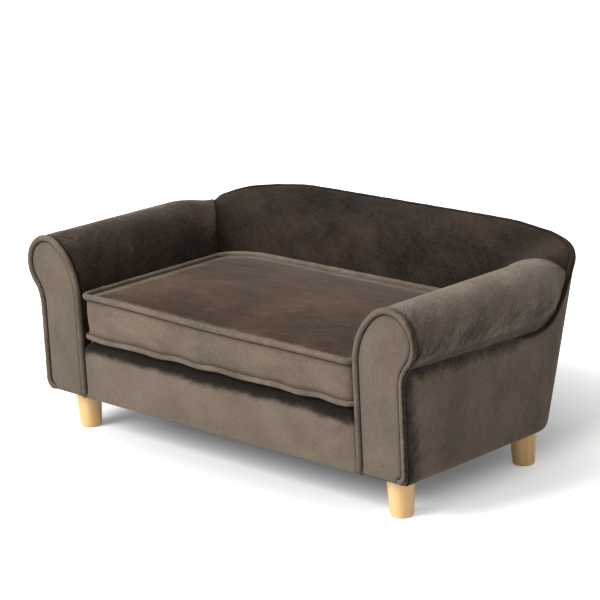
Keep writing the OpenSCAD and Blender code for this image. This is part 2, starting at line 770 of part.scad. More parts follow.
module cushion_piping(z) {
  color("dimgray") cord(cushion_ring(piping_r, z), [0, 0, 1], true);
}

// Zip at the cushion's rear

zip_l = 320;
chain_h = 6;
chain_t = 1.2;
chain_z = (band_low + band_high) / 2;
chain_y = cushion_rear - band_in + band_swell + fit;
// Size of the slider, and the thickness of its plate behind the chain
slider_w = 8;
slider_h = 9;
slider_t = 1.6;
slider_x = -zip_l / 2 + slider_w;
slider_y = chain_y + fit;
// Radius of the slider's pin, and of its ears
pin_r = 0.7;
ear_r = 1.2;
ear_t = 1.1;
// Outer radius and width of the pull's eye, and its running gap on the pin
eye_r = 1.5;
eye_w = 3.2;
eye_gap = 0.15;
pin_y = slider_y + chain_t + slider_t + eye_r + fit;
// Size of the pull's plate, how far down its shoulders are, and its small hole's radius
pull_w = 5;
pull_l = 12;
pull_t = 1;
shoulder_h = 3;
pull_hole_r = 0.9;

module zip_chain() {
  color("black") translate([-zip_l / 2, chain_y, chain_z - chain_h / 2])
    cube([zip_l, chain_t, chain_h]);
}

module along_x(r, w) {
  translate([-w / 2, 0, 0]) rotate([0, 90, 0]) cylinder(r = r, h = w, $fn = round_fn);
}

module zip_slider() {
  ear_x = eye_w / 2 + fit;
  depth = pin_y - slider_y;
  color("silver") translate([slider_x, slider_y, chain_z]) {
    difference() {
      translate([-slider_w / 2, 0, -slider_h / 2])
        cube([slider_w, chain_t + slider_t, slider_h]);
      translate([-slider_w / 2 - over, -over, -chain_h / 2 - fit])
        cube([slider_w + 2 * over, chain_t + over, chain_h + 2 * fit]);
    }
    for (x = [-ear_x - ear_t / 2, ear_x + ear_t / 2]) translate([x, 0, 0]) {
      translate([-ear_t / 2, chain_t + slider_t / 2, -ear_r])
        cube([ear_t, depth - chain_t - slider_t / 2, 2 * ear_r]);
      translate([0, depth, 0]) along_x(ear_r, ear_t);
    }
    translate([0, depth, 0]) along_x(pin_r, 2 * (ear_x + ear_t / 2));
  }
}

module zip_pull() {
  neck_w = eye_w - 2 * eye_gap;
  color("silver") translate([slider_x, pin_y, chain_z]) difference() {
    union() {
      along_x(eye_r, eye_w);
      translate([0, pull_t / 2, 0]) rotate([90, 0, 0]) linear_extrude(pull_t) polygon([
        [-neck_w / 2, 0], [neck_w / 2, 0], [neck_w / 2, -shoulder_h],
        [pull_w / 2, -shoulder_h - ear_r], [pull_w / 2, ear_r - pull_l],
        [pull_w / 2 - ear_r, -pull_l], [ear_r - pull_w / 2, -pull_l],
        [-pull_w / 2, ear_r - pull_l], [-pull_w / 2, -shoulder_h - ear_r],
        [-neck_w / 2, -shoulder_h]]);
    }
    along_x(pin_r + eye_gap, eye_w + 2 * over);
    translate([0, pull_t, 2 * ear_r - pull_l]) rotate([90, 0, 0])
      cylinder(r = pull_hole_r, h = 2 * pull_t, $fn = round_fn);
  }
}

leg(leg_places[0]);  // front_left_leg
leg(leg_places[1]);  // front_right_leg
leg(leg_places[2]);  // rear_left_leg
leg(leg_places[3]);  // rear_right_leg
hanger_bolts();
tee_nuts();
leg_blocks();
base_board();
front_rail_board();
rear_rail_board();
centre_brace();
seat_board();
deck_cloth();
dust_cover();
cover_staples();
arm_formers(-1);  // left_arm_formers
arm_formers(1);  // right_arm_formers
arm_board(-1);  // left_arm_board
arm_board(1);  // right_arm_board
roll_tube(-1);  // left_roll_tube
roll_tube(1);  // right_roll_tube
tack_rail(-1);  // left_tack_rail
tack_rail(1);  // right_tack_rail
arm_foam(-1);  // left_arm_foam
arm_foam(1);  // right_arm_foam
arm_cover(-1);  // left_arm_cover
arm_cover(1);  // right_arm_cover
arm_facing(-1);  // left_arm_facing
arm_facing(1);  // right_arm_facing
arm_piping(-1);  // left_arm_piping
arm_piping(1);  // right_arm_piping
back_panel();
back_foam();
inside_back_cover();
outer_cover();
back_piping();
front_rail_foam();
front_rail_cover();
cushion_foam();
cushion_top_panel();
cushion_band();
cushion_bottom_panel();
cushion_piping(top_piping_z);  // cushion_top_piping
cushion_piping(low_piping_z);  // cushion_bottom_piping
zip_chain();
zip_slider();
zip_pull();
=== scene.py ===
import logging
import math
from collections import Counter
from collections.abc import Callable, Iterable
from dataclasses import dataclass
from enum import Enum

import bmesh
import bpy
import numpy as np
from mathutils import Matrix, Vector
from mathutils.bvhtree import BVHTree
from mathutils.kdtree import KDTree


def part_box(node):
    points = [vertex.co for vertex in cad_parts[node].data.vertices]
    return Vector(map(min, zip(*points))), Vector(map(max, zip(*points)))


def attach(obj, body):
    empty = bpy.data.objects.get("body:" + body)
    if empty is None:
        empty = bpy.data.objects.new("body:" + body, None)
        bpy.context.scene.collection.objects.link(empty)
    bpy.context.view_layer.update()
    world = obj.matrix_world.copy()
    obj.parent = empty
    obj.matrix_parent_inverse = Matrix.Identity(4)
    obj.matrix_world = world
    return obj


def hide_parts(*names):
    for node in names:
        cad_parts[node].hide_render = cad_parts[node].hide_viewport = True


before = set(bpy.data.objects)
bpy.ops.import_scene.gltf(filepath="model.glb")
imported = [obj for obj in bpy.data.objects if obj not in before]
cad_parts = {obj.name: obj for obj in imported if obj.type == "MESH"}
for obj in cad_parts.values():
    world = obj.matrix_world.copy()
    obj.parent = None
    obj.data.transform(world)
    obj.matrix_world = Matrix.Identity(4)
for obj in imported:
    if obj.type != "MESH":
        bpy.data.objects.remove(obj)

log = logging.getLogger("dog_sofa_bed")

Colour = tuple[float, float, float, float]
Point = tuple[float, float, float]
Piece = bpy.types.Object
Node = bpy.types.Node
Socket = bpy.types.NodeSocket
Flat = list[tuple[float, float]]


class Body(Enum):
    """The bodies that carry the pieces that are made here."""

    SOFA = "sofa_frame"
    CUSHION = "cushion"


class Side(Enum):
    """The two sides, as the sign of their width."""

    LEFT = -1
    RIGHT = 1

    @property
    def word(self) -> str:
        """The side's word in the names of the nodes."""
        return self.name.lower()


# ---------------------------------------------------------------- numbers and lines


def mix(a: float, b: float, share: float) -> float:
    """Give the value that lies at a share of the way from a to b."""
    return a + (b - a) * share


def clip(share: float) -> float:
    """Keep a share within 0 and 1."""
    return min(max(share, 0.0), 1.0)


def ease(share: float) -> float:
    """Ease a share in and out."""
    return (1 - math.cos(math.pi * clip(share))) / 2


def ramp(value: float, start: float, end: float) -> float:
    """Ease from 0 where the value is at the start to 1 at the end."""
    return ease((value - start) / (end - start))


def fade(gap: float, width: float) -> float:
    """Give 1 on a line, and less and less beside it."""
    return math.exp(-(gap / width) ** 2)


def wander(at: float, seed: int) -> float:
    """Give a smooth random value from -1 to 1 along a line, the same each time."""
    return (np.sin(at * 1.0 + seed * 1.7) * 0.45 + np.sin(at * 2.3 + seed * 4.1) * 0.33
            + np.sin(at * 5.1 + seed * 0.6) * 0.22)


def steps_of(line: Iterable) -> tuple[np.ndarray, np.ndarray]:
    """Give a line's points as an array, and the lengths of its steps."""
    points = np.array([tuple(p) for p in line], float)
    return points, np.linalg.norm(np.diff(points, axis=0), axis=1)


def length(line: Iterable) -> float:
    """Give the length of a line of points."""
    return float(steps_of(line)[1].sum())


def spaced(line: Iterable, shares: np.ndarray) -> np.ndarray:
    """Give the points that lie at shares of a line's length.

    Args:
        line: The line's points.
        shares: The shares, from 0 to 1.

    Returns:
        One row for each share.
    """
    points, steps = steps_of(line)
    run = np.concatenate([[0.0], np.cumsum(steps)])
    return np.stack([np.interp(shares * run[-1], run, column) for column in points.T],
                    axis=1)


def evenly(line: list, gap: float, closed: bool = False) -> list:
    """Space the points of a line evenly.

    Args:
        line: The points, as tuples or vectors.
        gap: Rough distance between two points.
        closed: Whether the line ends where it starts.

    Returns:
        The new points, as tuples.
    """
    points, steps = steps_of([*line, line[0]] if closed else line)
    points = points[np.concatenate([[True], steps > 1e-7])]
    count = max(4, round(float(steps[steps > 1e-7].sum()) / gap))
    made = spaced(points, np.linspace(0, 1, count + 1))
    return [tuple(p) for p in (made[:-1] if closed else made)]


# ---------------------------------------------------------------- finishes


def rgb(red: float, green: float, blue: float) -> Colour:
    """Give a colour as the shader wants it from its look on a screen.

    Args:
        red: Share of red as seen, from 0 to 1.
        green: Share of green as seen.
        blue: Share of blue as seen.

    Returns:
        The linear colour with full cover.
    """
    def straight(c: float) -> float:
        """Undo the screen's curve for one channel."""
        return c / 12.92 if c <= 0.04045 else ((c + 0.055) / 1.055) ** 2.4
    return (straight(red), straight(green), straight(blue), 1.0)


@dataclass(frozen=True)
class Value:
    """A number in a node tree, on which sums are written as they are read."""

    graph: "Graph"
    socket: Socket

    def __add__(self, other: object) -> "Value":
        """Add a value or a number."""
        return self.graph.maths("ADD", self, other)

    def __sub__(self, other: object) -> "Value":
        """Take a value or a number away."""
        return self.graph.maths("SUBTRACT", self, other)

    def __mul__(self, other: object) -> "Value":
        """Multiply by a value or a number."""
        return self.graph.maths("MULTIPLY", self, other)

    def stretched(self, low: float, high: float, to_low: float = 0.0,
                  to_high: float = 1.0) -> "Value":
        """Map the value from one range to another with soft ends.

        Args:
            low: Start of the range that it is mapped from.
            high: End of that range.
            to_low: Start of the range that it is mapped to.
            to_high: End of that range.

        Returns:
            The mapped value.
        """
        return self.graph.value(
            "MapRange", {"Value": self, "From Min": low, "From Max": high,
                         "To Min": to_low, "To Max": to_high},
            interpolation_type="SMOOTHSTEP")


class Graph:
    """A small helper that adds nodes to one node tree and joins them."""

    def __init__(self, tree: bpy.types.NodeTree) -> None:
        """Keep the tree that is built up."""
        self.tree = tree

    @classmethod
    def emptied(cls, owner: bpy.types.Material | bpy.types.World) -> "Graph":
        """Clear the nodes of a material or world, and give a helper for them.

        Args:
            owner: The material or the world.

        Returns:
            The helper, on an empty tree.
        """
        owner.use_nodes = True
        owner.node_tree.nodes.clear()
        return cls(owner.node_tree)

    def join(self, node: Node, inputs: dict) -> None:
        """Join sockets to a node's inputs, or set their constants.

        Args:
            node: The node.
            inputs: A socket, a value or a constant for each input.
        """
        for key, given in inputs.items():
            given = given.socket if isinstance(given, Value) else given
            if isinstance(given, Socket):
                self.tree.links.new(given, node.inputs[key])
            else:
                node.inputs[key].default_value = given

    def add(self, kind: str, inputs: dict, **settings: object) -> Node:
        """Add a node, set its properties and join its inputs.

        Args:
            kind: Blender's name of the node type, without ShaderNode.
            inputs: What goes into its inputs, as join takes it.
            settings: Properties of the node and their values.

        Returns:
            The new node.
        """
        node = self.tree.nodes.new("ShaderNode" + kind)
        for key, value in settings.items():
            setattr(node, key, value)
        self.join(node, inputs)
        return node

    def value(self, kind: str, inputs: dict, output: int | str = 0,
              **settings: object) -> Value:
        """Add a node and give one of its outputs as a value."""
        return Value(self, self.add(kind, inputs, **settings).outputs[output])

    def maths(self, operation: str, a: object, b: object, clamp: bool = False) -> Value:
        """Do one of Blender's sums, and keep the answer within 0 and 1 if asked."""
        return self.value("Math", {0: a, 1: b}, operation=operation, use_clamp=clamp)

    def vector(self, operation: str, a: object, b: object) -> Socket:
        """Do one of Blender's sums on two vectors, or scale one by a number."""
        inputs = {0: a, "Scale" if operation == "SCALE" else 1: b}
        return self.add("VectorMath", inputs, operation=operation).outputs[0]

    def mixed(self, share: object, a: object, b: object) -> Socket:
        """Mix two colours by a share."""
        return self.add("Mix", {0: share, 6: a, 7: b}, data_type="RGBA").outputs[2]

    def place(self) -> Socket:
        """Give the object's own coordinates."""
        return self.add("TexCoord", {}).outputs["Object"]

    def marked(self, name: str) -> Value:
        """Give the mark that the piece carries under a name."""
        return self.value("Attribute", {}, "Fac", attribute_name=name)

    def noise(self, place: object, scale: object, detail: float, rough: float) -> Value:
        """Add a soft random pattern.

        Args:
            place: Socket of the coordinates.
            scale: How many features fit a metre.
            detail: Number of finer layers.
            rough: Strength of the finer layers.

        Returns:
            The pattern's value.
        """
        return self.value("TexNoise", {"Vector": place, "Scale": scale,
                                       "Detail": detail, "Roughness": rough}, "Fac")


FLOAT, COLOUR, VECTOR = "NodeSocketFloat", "NodeSocketColor", "NodeSocketVector"
COLOURS = {"Light": (COLOUR, (1, 1, 1, 1)), "Dark": (COLOUR, (0, 0, 0, 1))}


def new_group(name: str, takes: dict[str, tuple[str, object]]
              ) -> tuple[Graph, bpy.types.NodeOutputs, Node]:
    """Start a shader node group that gives a colour and a height.

    Args:
        name: The group's name.
        takes: Inputs by name, each with its socket type and value.

    Returns:
        A helper for the group, the sockets of its inputs, and its output node.
    """
    tree = bpy.data.node_groups.new(name, "ShaderNodeTree")
    for key, (kind, value) in takes.items():
        socket = tree.interface.new_socket(name=key, in_out="INPUT", socket_type=kind)
        socket.default_value = value
    for key, kind in (("Colour", COLOUR), ("Height", FLOAT)):
        tree.interface.new_socket(name=key, in_out="OUTPUT", socket_type=kind)
    return (Graph(tree), tree.nodes.new("NodeGroupInput").outputs,
            tree.nodes.new("NodeGroupOutput"))


def nap_group() -> bpy.types.NodeTree:
    """Build the velvet's nap: brushed streaks, cloudy patches and the fine pile.

    Where a piece carries the mark "against", its colour turns to painted shade,
    as where its nap turns from the light, and the mark "crease" paints the
    shade in the creases beside its seams.

    Returns:
        The node group, whose outputs are a colour and a height.
    """
    name = "velvet nap"
    if name in bpy.data.node_groups:
        return bpy.data.node_groups[name]
    g, given, out = new_group(name, COLOURS | {
        "Against": (COLOUR, (0, 0, 0, 1)), "Streaks": (VECTOR, (1, 1, 1)),
        "Lean": (VECTOR, (0, 0, 0)), "Contrast": (FLOAT, 1.0)})
    place = g.place()
    bend = g.add("TexNoise", {"Vector": place, "Scale": 5.0}).outputs["Color"]
    bent = g.vector("ADD", place, g.vector("MULTIPLY", bend, (0.07, 0.07, 0.07)))
    leant = g.add("VectorRotate", {"Vector": bent, "Rotation": given["Lean"]},
                  rotation_type="EULER_XYZ").outputs[0]
    along = g.vector("MULTIPLY", leant, given["Streaks"])
    brushed = g.noise(along, 26.0, detail=5.0, rough=0.62).stretched(0.30, 0.72)
    clouds = g.noise(bent, 11.0, detail=2.0, rough=0.5).stretched(0.32, 0.70)
    marks = g.noise(along, 120.0, detail=2.0, rough=0.6).stretched(0.35, 0.70)
    fibres = g.noise(place, 420.0, detail=3.0, rough=0.7).stretched(0.28, 0.72)
    share = brushed * 0.42 + clouds * 0.34 + marks * 0.14 + fibres * 0.60
    share = g.maths("ADD", (share - 0.75) * given["Contrast"], 0.5, clamp=True)
    usual = g.mixed(share, given["Dark"], given["Light"])
    # painted shade: where a piece carries against, the colour turns to the darker shade
    # colour, with ragged edges
    turned = ragged_shade = g.marked("against")
    for part, depth in ((brushed, 0.20), (marks, 0.20), (clouds, 0.12), (fibres, 0.16)):
        ragged_shade = ragged_shade - (part - 0.5) * depth
    over = ragged_shade.stretched(0.02, 0.98) * turned.stretched(0.0, 0.25)
    shade_colour = g.vector("SCALE", given["Against"], share * 1.40 + 0.30)
    shaded = g.mixed(over, usual, shade_colour)
    pile = g.noise(place, 1500.0, detail=2.0, rough=0.6)
    ripple = g.noise(along, 60.0, detail=2.0, rough=0.5)
    # painted shade: crease darkens the colour by up to 80 per cent in the creases beside
    # the seams
    g.join(out, {"Colour": g.vector("SCALE", shaded, g.marked("crease") * -0.8 + 1.0),
                 "Height": pile * 0.0005 + ripple * 0.0016})
    return g.tree


def grain_group() -> bpy.types.NodeTree:
    """Build the grain of pale wood that runs up a leg or along a board.

    Returns:
        The node group, whose outputs are a colour and a height.
    """
    name = "wood grain"
    if name in bpy.data.node_groups:
        return bpy.data.node_groups[name]
    g, given, out = new_group(name, COLOURS | {"Run": (VECTOR, (1, 1, 1)),
                                               "Rings": (FLOAT, 60.0)})
    place = g.vector("MULTIPLY", g.place(), given["Run"])
    bend = g.noise(place, 14.0, detail=2.0, rough=0.5)
    lines = g.noise(place, given["Rings"], detail=3.0, rough=0.6).stretched(0.38, 0.66)
    pores = g.noise(place, 620.0, detail=1.0, rough=0.4).stretched(0.60, 0.74)
    share = g.maths("ADD", lines * 0.65, bend * 0.45, clamp=True)
    base = g.mixed(share, given["Light"], given["Dark"])
    g.join(out, {"Colour": g.mixed(pores * 0.35, base, given["Dark"]),
                 "Height": (pores + lines) * -0.00008})
    return g.tree


@dataclass(frozen=True)
class Finish:
    """What every finish has: its name, a light and a dark colour, and its slot."""

    name: str
    light: Colour
    dark: Colour
    slot: str

    def shade(self, g: Graph) -> dict[str, object]:
        """Give the shader's inputs, and the bump's height under "Height"."""
        raise NotImplementedError

    def material(self) -> bpy.types.Material:
        """Make the finish's material, or give it again if it exists.

        Returns:
            The material, with one Principled shader.
        """
        if self.name in bpy.data.materials:
            return bpy.data.materials[self.name]
        made = bpy.data.materials.new(self.name)
        g = Graph.emptied(made)
        inputs = self.shade(g)
        bump = g.add("Bump", {"Height": inputs.pop("Height"), "Distance": 1.0,
                              "Strength": 1.0})
        shader = g.add("BsdfPrincipled", inputs | {"Normal": bump.outputs[0]})
        g.add("OutputMaterial", {0: shader.outputs[0]})
        return made


BROWN, DIM = rgb(0.19, 0.15, 0.12), rgb(0.33, 0.285, 0.245)


@dataclass(frozen=True)
class Velvet(Finish):
    """Short-pile velvet as it looks on one panel, where its nap lies one way; its colours
    hold that panel's painted light and shade.
    """

    # against: the colour of the painted shade, where the nap turns from the light
    against: Colour = BROWN
    streaks: Point = (1.0, 1.0, 1.0)
    contrast: float = 1.2
    lean: Point = (0.0, 0.0, 0.0)
    sheen: float = 0.30

    def shade(self, g: Graph) -> dict[str, object]:
        """Give the shader's inputs for velvet.

        Args:
            g: A helper for the material's nodes.

        Returns:
            The inputs by name.
        """
        nap = g.add("Group", {"Light": self.light, "Dark": self.dark,
                              "Against": self.against, "Streaks": self.streaks,
                              "Lean": self.lean, "Contrast": self.contrast},
                    node_tree=nap_group()).outputs
        return {"Base Color": nap["Colour"], "Height": nap["Height"],
                "Roughness": 0.92, "Specular IOR Level": 0.12,
                "Sheen Weight": self.sheen, "Sheen Roughness": 0.42,
                "Sheen Tint": (0.60, 0.53, 0.46, 1.0)}


@dataclass(frozen=True)
class Timber(Finish):
    """Wood with its grain along one axis."""

    run: Point
    rings: float
    roughness: float
    coat: float = 0.0

    def shade(self, g: Graph) -> dict[str, object]:
        """Give the shader's inputs for wood.

        Args:
            g: A helper for the material's nodes.

        Returns:
            The inputs by name.
        """
        grain = g.add("Group", {"Light": self.light, "Dark": self.dark,
                                "Run": self.run, "Rings": self.rings},
                      node_tree=grain_group()).outputs
        return {"Base Color": grain["Colour"], "Height": grain["Height"],
                "Roughness": self.roughness, "Coat Weight": self.coat,
                "Coat Roughness": 0.3}


@dataclass(frozen=True)
class Plain(Finish):
    """A hidden or small finish: thread, cloth, board or metal with a fine texture."""

    scale: float
    relief: float
    roughness: float
    metallic: float = 0.0
    stretch: Point = (1.0, 1.0, 1.0)

    def shade(self, g: Graph) -> dict[str, object]:
        """Give the shader's inputs for the finish.

        Args:
            g: A helper for the material's nodes.

        Returns:
            The inputs by name.
        """
        place = g.vector("MULTIPLY", g.place(), self.stretch)
        fine = g.noise(place, self.scale, detail=3.0, rough=0.6)
        broad = g.noise(place, self.scale / 20, detail=2.0, rough=0.5)
        share = (fine * 0.6 + broad * 0.4).stretched(0.3, 0.7)
        return {"Base Color": g.mixed(share, self.dark, self.light),
                "Height": fine * self.relief, "Roughness": self.roughness,
                "Metallic": self.metallic}


TAUPE, SHADE = rgb(0.445, 0.395, 0.345), rgb(0.330, 0.288, 0.248)
OUTER = Velvet("outer velvet", rgb(0.43, 0.38, 0.33), DIM, "velvet",
               streaks=(1.0, 0.8, 0.5), lean=(0.35, 0.0, 0.0))
ROLL = Velvet("roll velvet", rgb(0.50, 0.45, 0.40), DIM, "velvet",
              streaks=(1.0, 1.0, 0.38), contrast=1.05, lean=(0.7, 0.0, 0.0))
FACING = Velvet("facing velvet", rgb(0.432, 0.385, 0.338), rgb(0.325, 0.285, 0.247),
                "velvet", streaks=(1.0, 1.0, 0.5), contrast=0.75)
# Painted shade: the inside of the back is the same taupe velvet, made far darker where it
# lies in shade and its nap turns from the light.
SHADED_INSIDE = Velvet("inside velvet", rgb(0.215, 0.172, 0.135), rgb(0.055, 0.040, 0.028),
                "velvet", streaks=(0.45, 1.0, 1.0), contrast=1.1, lean=(0.0, -0.5, 0.0),
                sheen=0.08)
# painted shadow: the rail's against colour is the near-black shadow under the cushion
# along its top
RAIL = Velvet("rail velvet", TAUPE, SHADE, "velvet", against=rgb(0.105, 0.078, 0.06),
              streaks=(0.6, 1.0, 1.0), contrast=0.6)
# painted shade: the cushion's against colour is the darker, redder look of its top and
# bottom, where the nap catches less light
CUSHION = Velvet("cushion velvet", TAUPE, SHADE, "velvet",
                 against=rgb(0.225, 0.157, 0.106), streaks=(0.45, 0.9, 0.9),
                 contrast=1.0, sheen=0.24)
PIPING = Velvet("piping velvet", rgb(0.44, 0.39, 0.34), DIM, "velvet_piping", sheen=0.2)
# Painted shade: the rim piping is the same velvet as the front piping, made near black
# where it lies in shade.
SHADED_RIM_PIPING = Velvet("rim piping velvet", rgb(0.165, 0.128, 0.10),
                    rgb(0.085, 0.062, 0.046), "velvet_piping", sheen=0.06)
# Dark cords sunk in the seams: thread, and painted shadow of the crease beside the
# piping.
SEAM_SHADOW = Plain("seam shadow thread", rgb(0.165, 0.142, 0.12), rgb(0.10, 0.085, 0.072),
             "velvet_piping", scale=900.0, relief=0.0001, roughness=0.95)
LEG_WOOD = Timber("leg wood", rgb(0.915, 0.76, 0.53), rgb(0.85, 0.68, 0.43), "leg_wood",
                  run=(1.0, 1.0, 0.05), rings=150.0, roughness=0.45, coat=0.2)
BOARD_WOOD = Timber("board wood", rgb(0.82, 0.70, 0.52), rgb(0.66, 0.52, 0.36),
                    "frame_wood", run=(0.06, 1.0, 1.0), rings=120.0, roughness=0.7)
BLACK_CLOTH = Plain("black cloth", rgb(0.13, 0.13, 0.13), rgb(0.06, 0.06, 0.06),
                    "black_cloth", scale=1100.0, relief=0.0003, roughness=0.9)
TUBE_BOARD = Plain("tube board", rgb(0.66, 0.53, 0.38), rgb(0.52, 0.40, 0.28),
                   "tube_board", scale=500.0, relief=0.0002, roughness=0.85,
                   stretch=(1.0, 0.1, 1.0))
STEEL = Plain("zinced steel", rgb(0.76, 0.76, 0.75), rgb(0.58, 0.58, 0.57), "steel",
              scale=1500.0, relief=0.00003, roughness=0.35, metallic=1.0)
ZIP_TAPE = Plain("zip tape", rgb(0.17, 0.15, 0.13), rgb(0.07, 0.06, 0.055), "zip_tape",
                 scale=1400.0, relief=0.0003, roughness=0.85, stretch=(1.0, 0.4, 0.3))
ZIP_METAL = Plain("zip metal", rgb(0.30, 0.29, 0.28), rgb(0.18, 0.17, 0.165),
                  "zip_metal", scale=1800.0, relief=0.00002, roughness=0.4,
                  metallic=1.0)


# ---------------------------------------------------------------- mesh helpers


def select_none() -> None:
    """Leave edit mode and deselect every object."""
    if bpy.context.object and bpy.context.object.mode != "OBJECT":
        bpy.ops.object.mode_set(mode="OBJECT")
    bpy.ops.object.select_all(action="DESELECT")


def take_up(piece: Piece) -> None:
    """Make a piece the only selected and active one.

    Args:
        piece: The piece.
    """
    select_none()
    piece.select_set(True)
    bpy.context.view_layer.objects.active = piece


def edit(piece: Piece) -> None:
    """Go into edit mode on a piece, with all of it selected.

    Args:
        piece: The piece.
    """
    take_up(piece)
    bpy.ops.object.mode_set(mode="EDIT")
    bpy.ops.mesh.select_all(action="SELECT")


def finish_with(piece: Piece, kind: str, **settings: object) -> None:
    """Add a modifier to a piece and apply it.

    Args:
        piece: The piece.
        kind: Blender's name of the modifier type.
        settings: The modifier's values.
    """
    take_up(piece)
    modifier = piece.modifiers.new(kind.lower(), kind)
    for key, value in settings.items():
        setattr(modifier, key, value)
    bpy.ops.object.modifier_apply(modifier=modifier.name)


def placed(name: str, data: bpy.types.ID) -> Piece:
    """Put data into the scene as an object at the origin.

    Args:
        name: The object's name.
        data: Its mesh, curve, camera or lamp.

    Returns:
        The object.
    """
    made = bpy.data.objects.new(name, data)
    bpy.context.scene.collection.objects.link(made)
    return made


def piece_of(name: str, points: Iterable, faces: list[tuple[int, ...]]
             ) -> Piece:
    """Make a piece from its points and its faces.

    Args:
        name: The piece's name.
        points: Its points.
        faces: The numbers of each face's points.

    Returns:
        The piece.
    """
    mesh = bpy.data.meshes.new(name)
    mesh.from_pydata([tuple(p) for p in points], [], faces)
    return placed(name, mesh)


def faces_of(piece: Piece) -> list[tuple[int, ...]]:
    """Give the numbers of the points of each face of a piece."""
    return [tuple(face.vertices) for face in piece.data.polygons]


def surface(piece: Piece) -> BVHTree:
    """Make a tree that finds the nearest place on a piece's surface."""
    return BVHTree.FromPolygons([v.co.copy() for v in piece.data.vertices],
                                faces_of(piece))


def tree_of(points: Iterable) -> KDTree:
    """Make a tree that finds the nearest of many points.

    Args:
        points: The points, of three numbers each.

    Returns:
        The tree.
    """
    places = [Vector(p) for p in points]
    tree = KDTree(len(places))
    for i, place in enumerate(places):
        tree.insert(place, i)
    tree.balance()
    return tree


def open_edges(piece: Piece) -> list[tuple[int, int]]:
    """Give the edges of a piece that only one face uses."""
    uses = Counter(key for face in piece.data.polygons for key in face.edge_keys)
    return [key for key, count in uses.items() if count == 1]


def merged_copy(node: str, name: str) -> Piece:
    """Copy a node's mesh as a new piece in quads, with its loose triangles joined.

    Args:
        node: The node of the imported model.
        name: The new piece's name.

    Returns:
        The new piece, at the origin.
    """
    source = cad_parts[node]
    piece = piece_of(name, [v.co for v in source.data.vertices], faces_of(source))
    edit(piece)
    bpy.ops.mesh.remove_doubles(threshold=0.00002)
    bpy.ops.mesh.tris_convert_to_quads(face_threshold=math.radians(50),
                                       shape_threshold=math.radians(80))
    bpy.ops.object.mode_set(mode="OBJECT")
    return piece


def dress(piece: Piece, finish: Finish, body: Body,
          stands_for: Iterable[str] = (), angle: float = 60.0) -> None:
    """Give a piece its finish, its smooth shading and the body it rides on.

    Args:
        piece: The finished piece.
        finish: Its finish.
        body: The body that carries it.
        stands_for: The nodes that it replaces.
        angle: Edges sharper than this stay sharp, in degrees.
    """
    piece.data.materials.clear()
    piece.data.materials.append(finish.material())
    take_up(piece)
    bpy.ops.object.shade_smooth_by_angle(angle=math.radians(angle))
    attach(piece, body.value)
    nodes = list(stands_for)
    if nodes:
        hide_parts(*nodes)
    log.info("%s: %d faces on %s", piece.name, len(piece.data.polygons), body.value)


def repaint(finish: Finish, *nodes: str) -> None:
    """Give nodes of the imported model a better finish.

    Args:
        finish: The finish.
        nodes: The nodes' names.
    """
    for node in nodes:
        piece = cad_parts[node]
        if not piece.material_slots:
            piece.data.materials.append(None)
        for place in piece.material_slots:
            place.material = finish.material()


def mark(piece: Piece, name: str, share: Callable[[Vector], float]) -> None:
    """Mark every point of a piece with a share from 0 to 1 that its velvet reads."""
    made = piece.data.attributes.new(name, "FLOAT", "POINT")
    made.data.foreach_set("value", [clip(share(v.co)) for v in piece.data.vertices])


def outer_skin(node: str, over: str) -> Piece:
    """Take the outer face of a node's thin cover as an open, smooth sheet.

    Args:
        node: The cover's node.
        over: The node that the cover lies over, which the outer face is away from.

    Returns:
        The sheet, at the origin.
    """
    piece = merged_copy(node, f"{node}_face")
    bm = bmesh.new()
    bm.from_mesh(piece.data)
    regions, seen = [], set()
    for first in bm.faces:
        if first in seen:
            continue
        seen.add(first)
        region, waiting = [], [first]
        while waiting:
            face = waiting.pop()
            region.append(face)
            for edge in face.edges:
                if edge.calc_face_angle(0) <= math.radians(55):
                    found = [other for other in edge.link_faces if other not in seen]
                    seen.update(found)
                    waiting += found
        regions.append(region)
    regions.sort(key=lambda faces: -sum(f.calc_area() for f in faces))
    under = surface(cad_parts[over])
    away = [np.mean([under.find_nearest(f.calc_center_median())[3] for f in region])
            for region in regions[:2]]
    keep = set(regions[int(np.argmax(away))])
    bmesh.ops.delete(bm, geom=[f for f in bm.faces if f not in keep], context="FACES")
    bm.to_mesh(piece.data)
    bm.free()
    finish_with(piece, "SUBSURF", levels=2, render_levels=2,
                boundary_smooth="PRESERVE_CORNERS")
    return piece


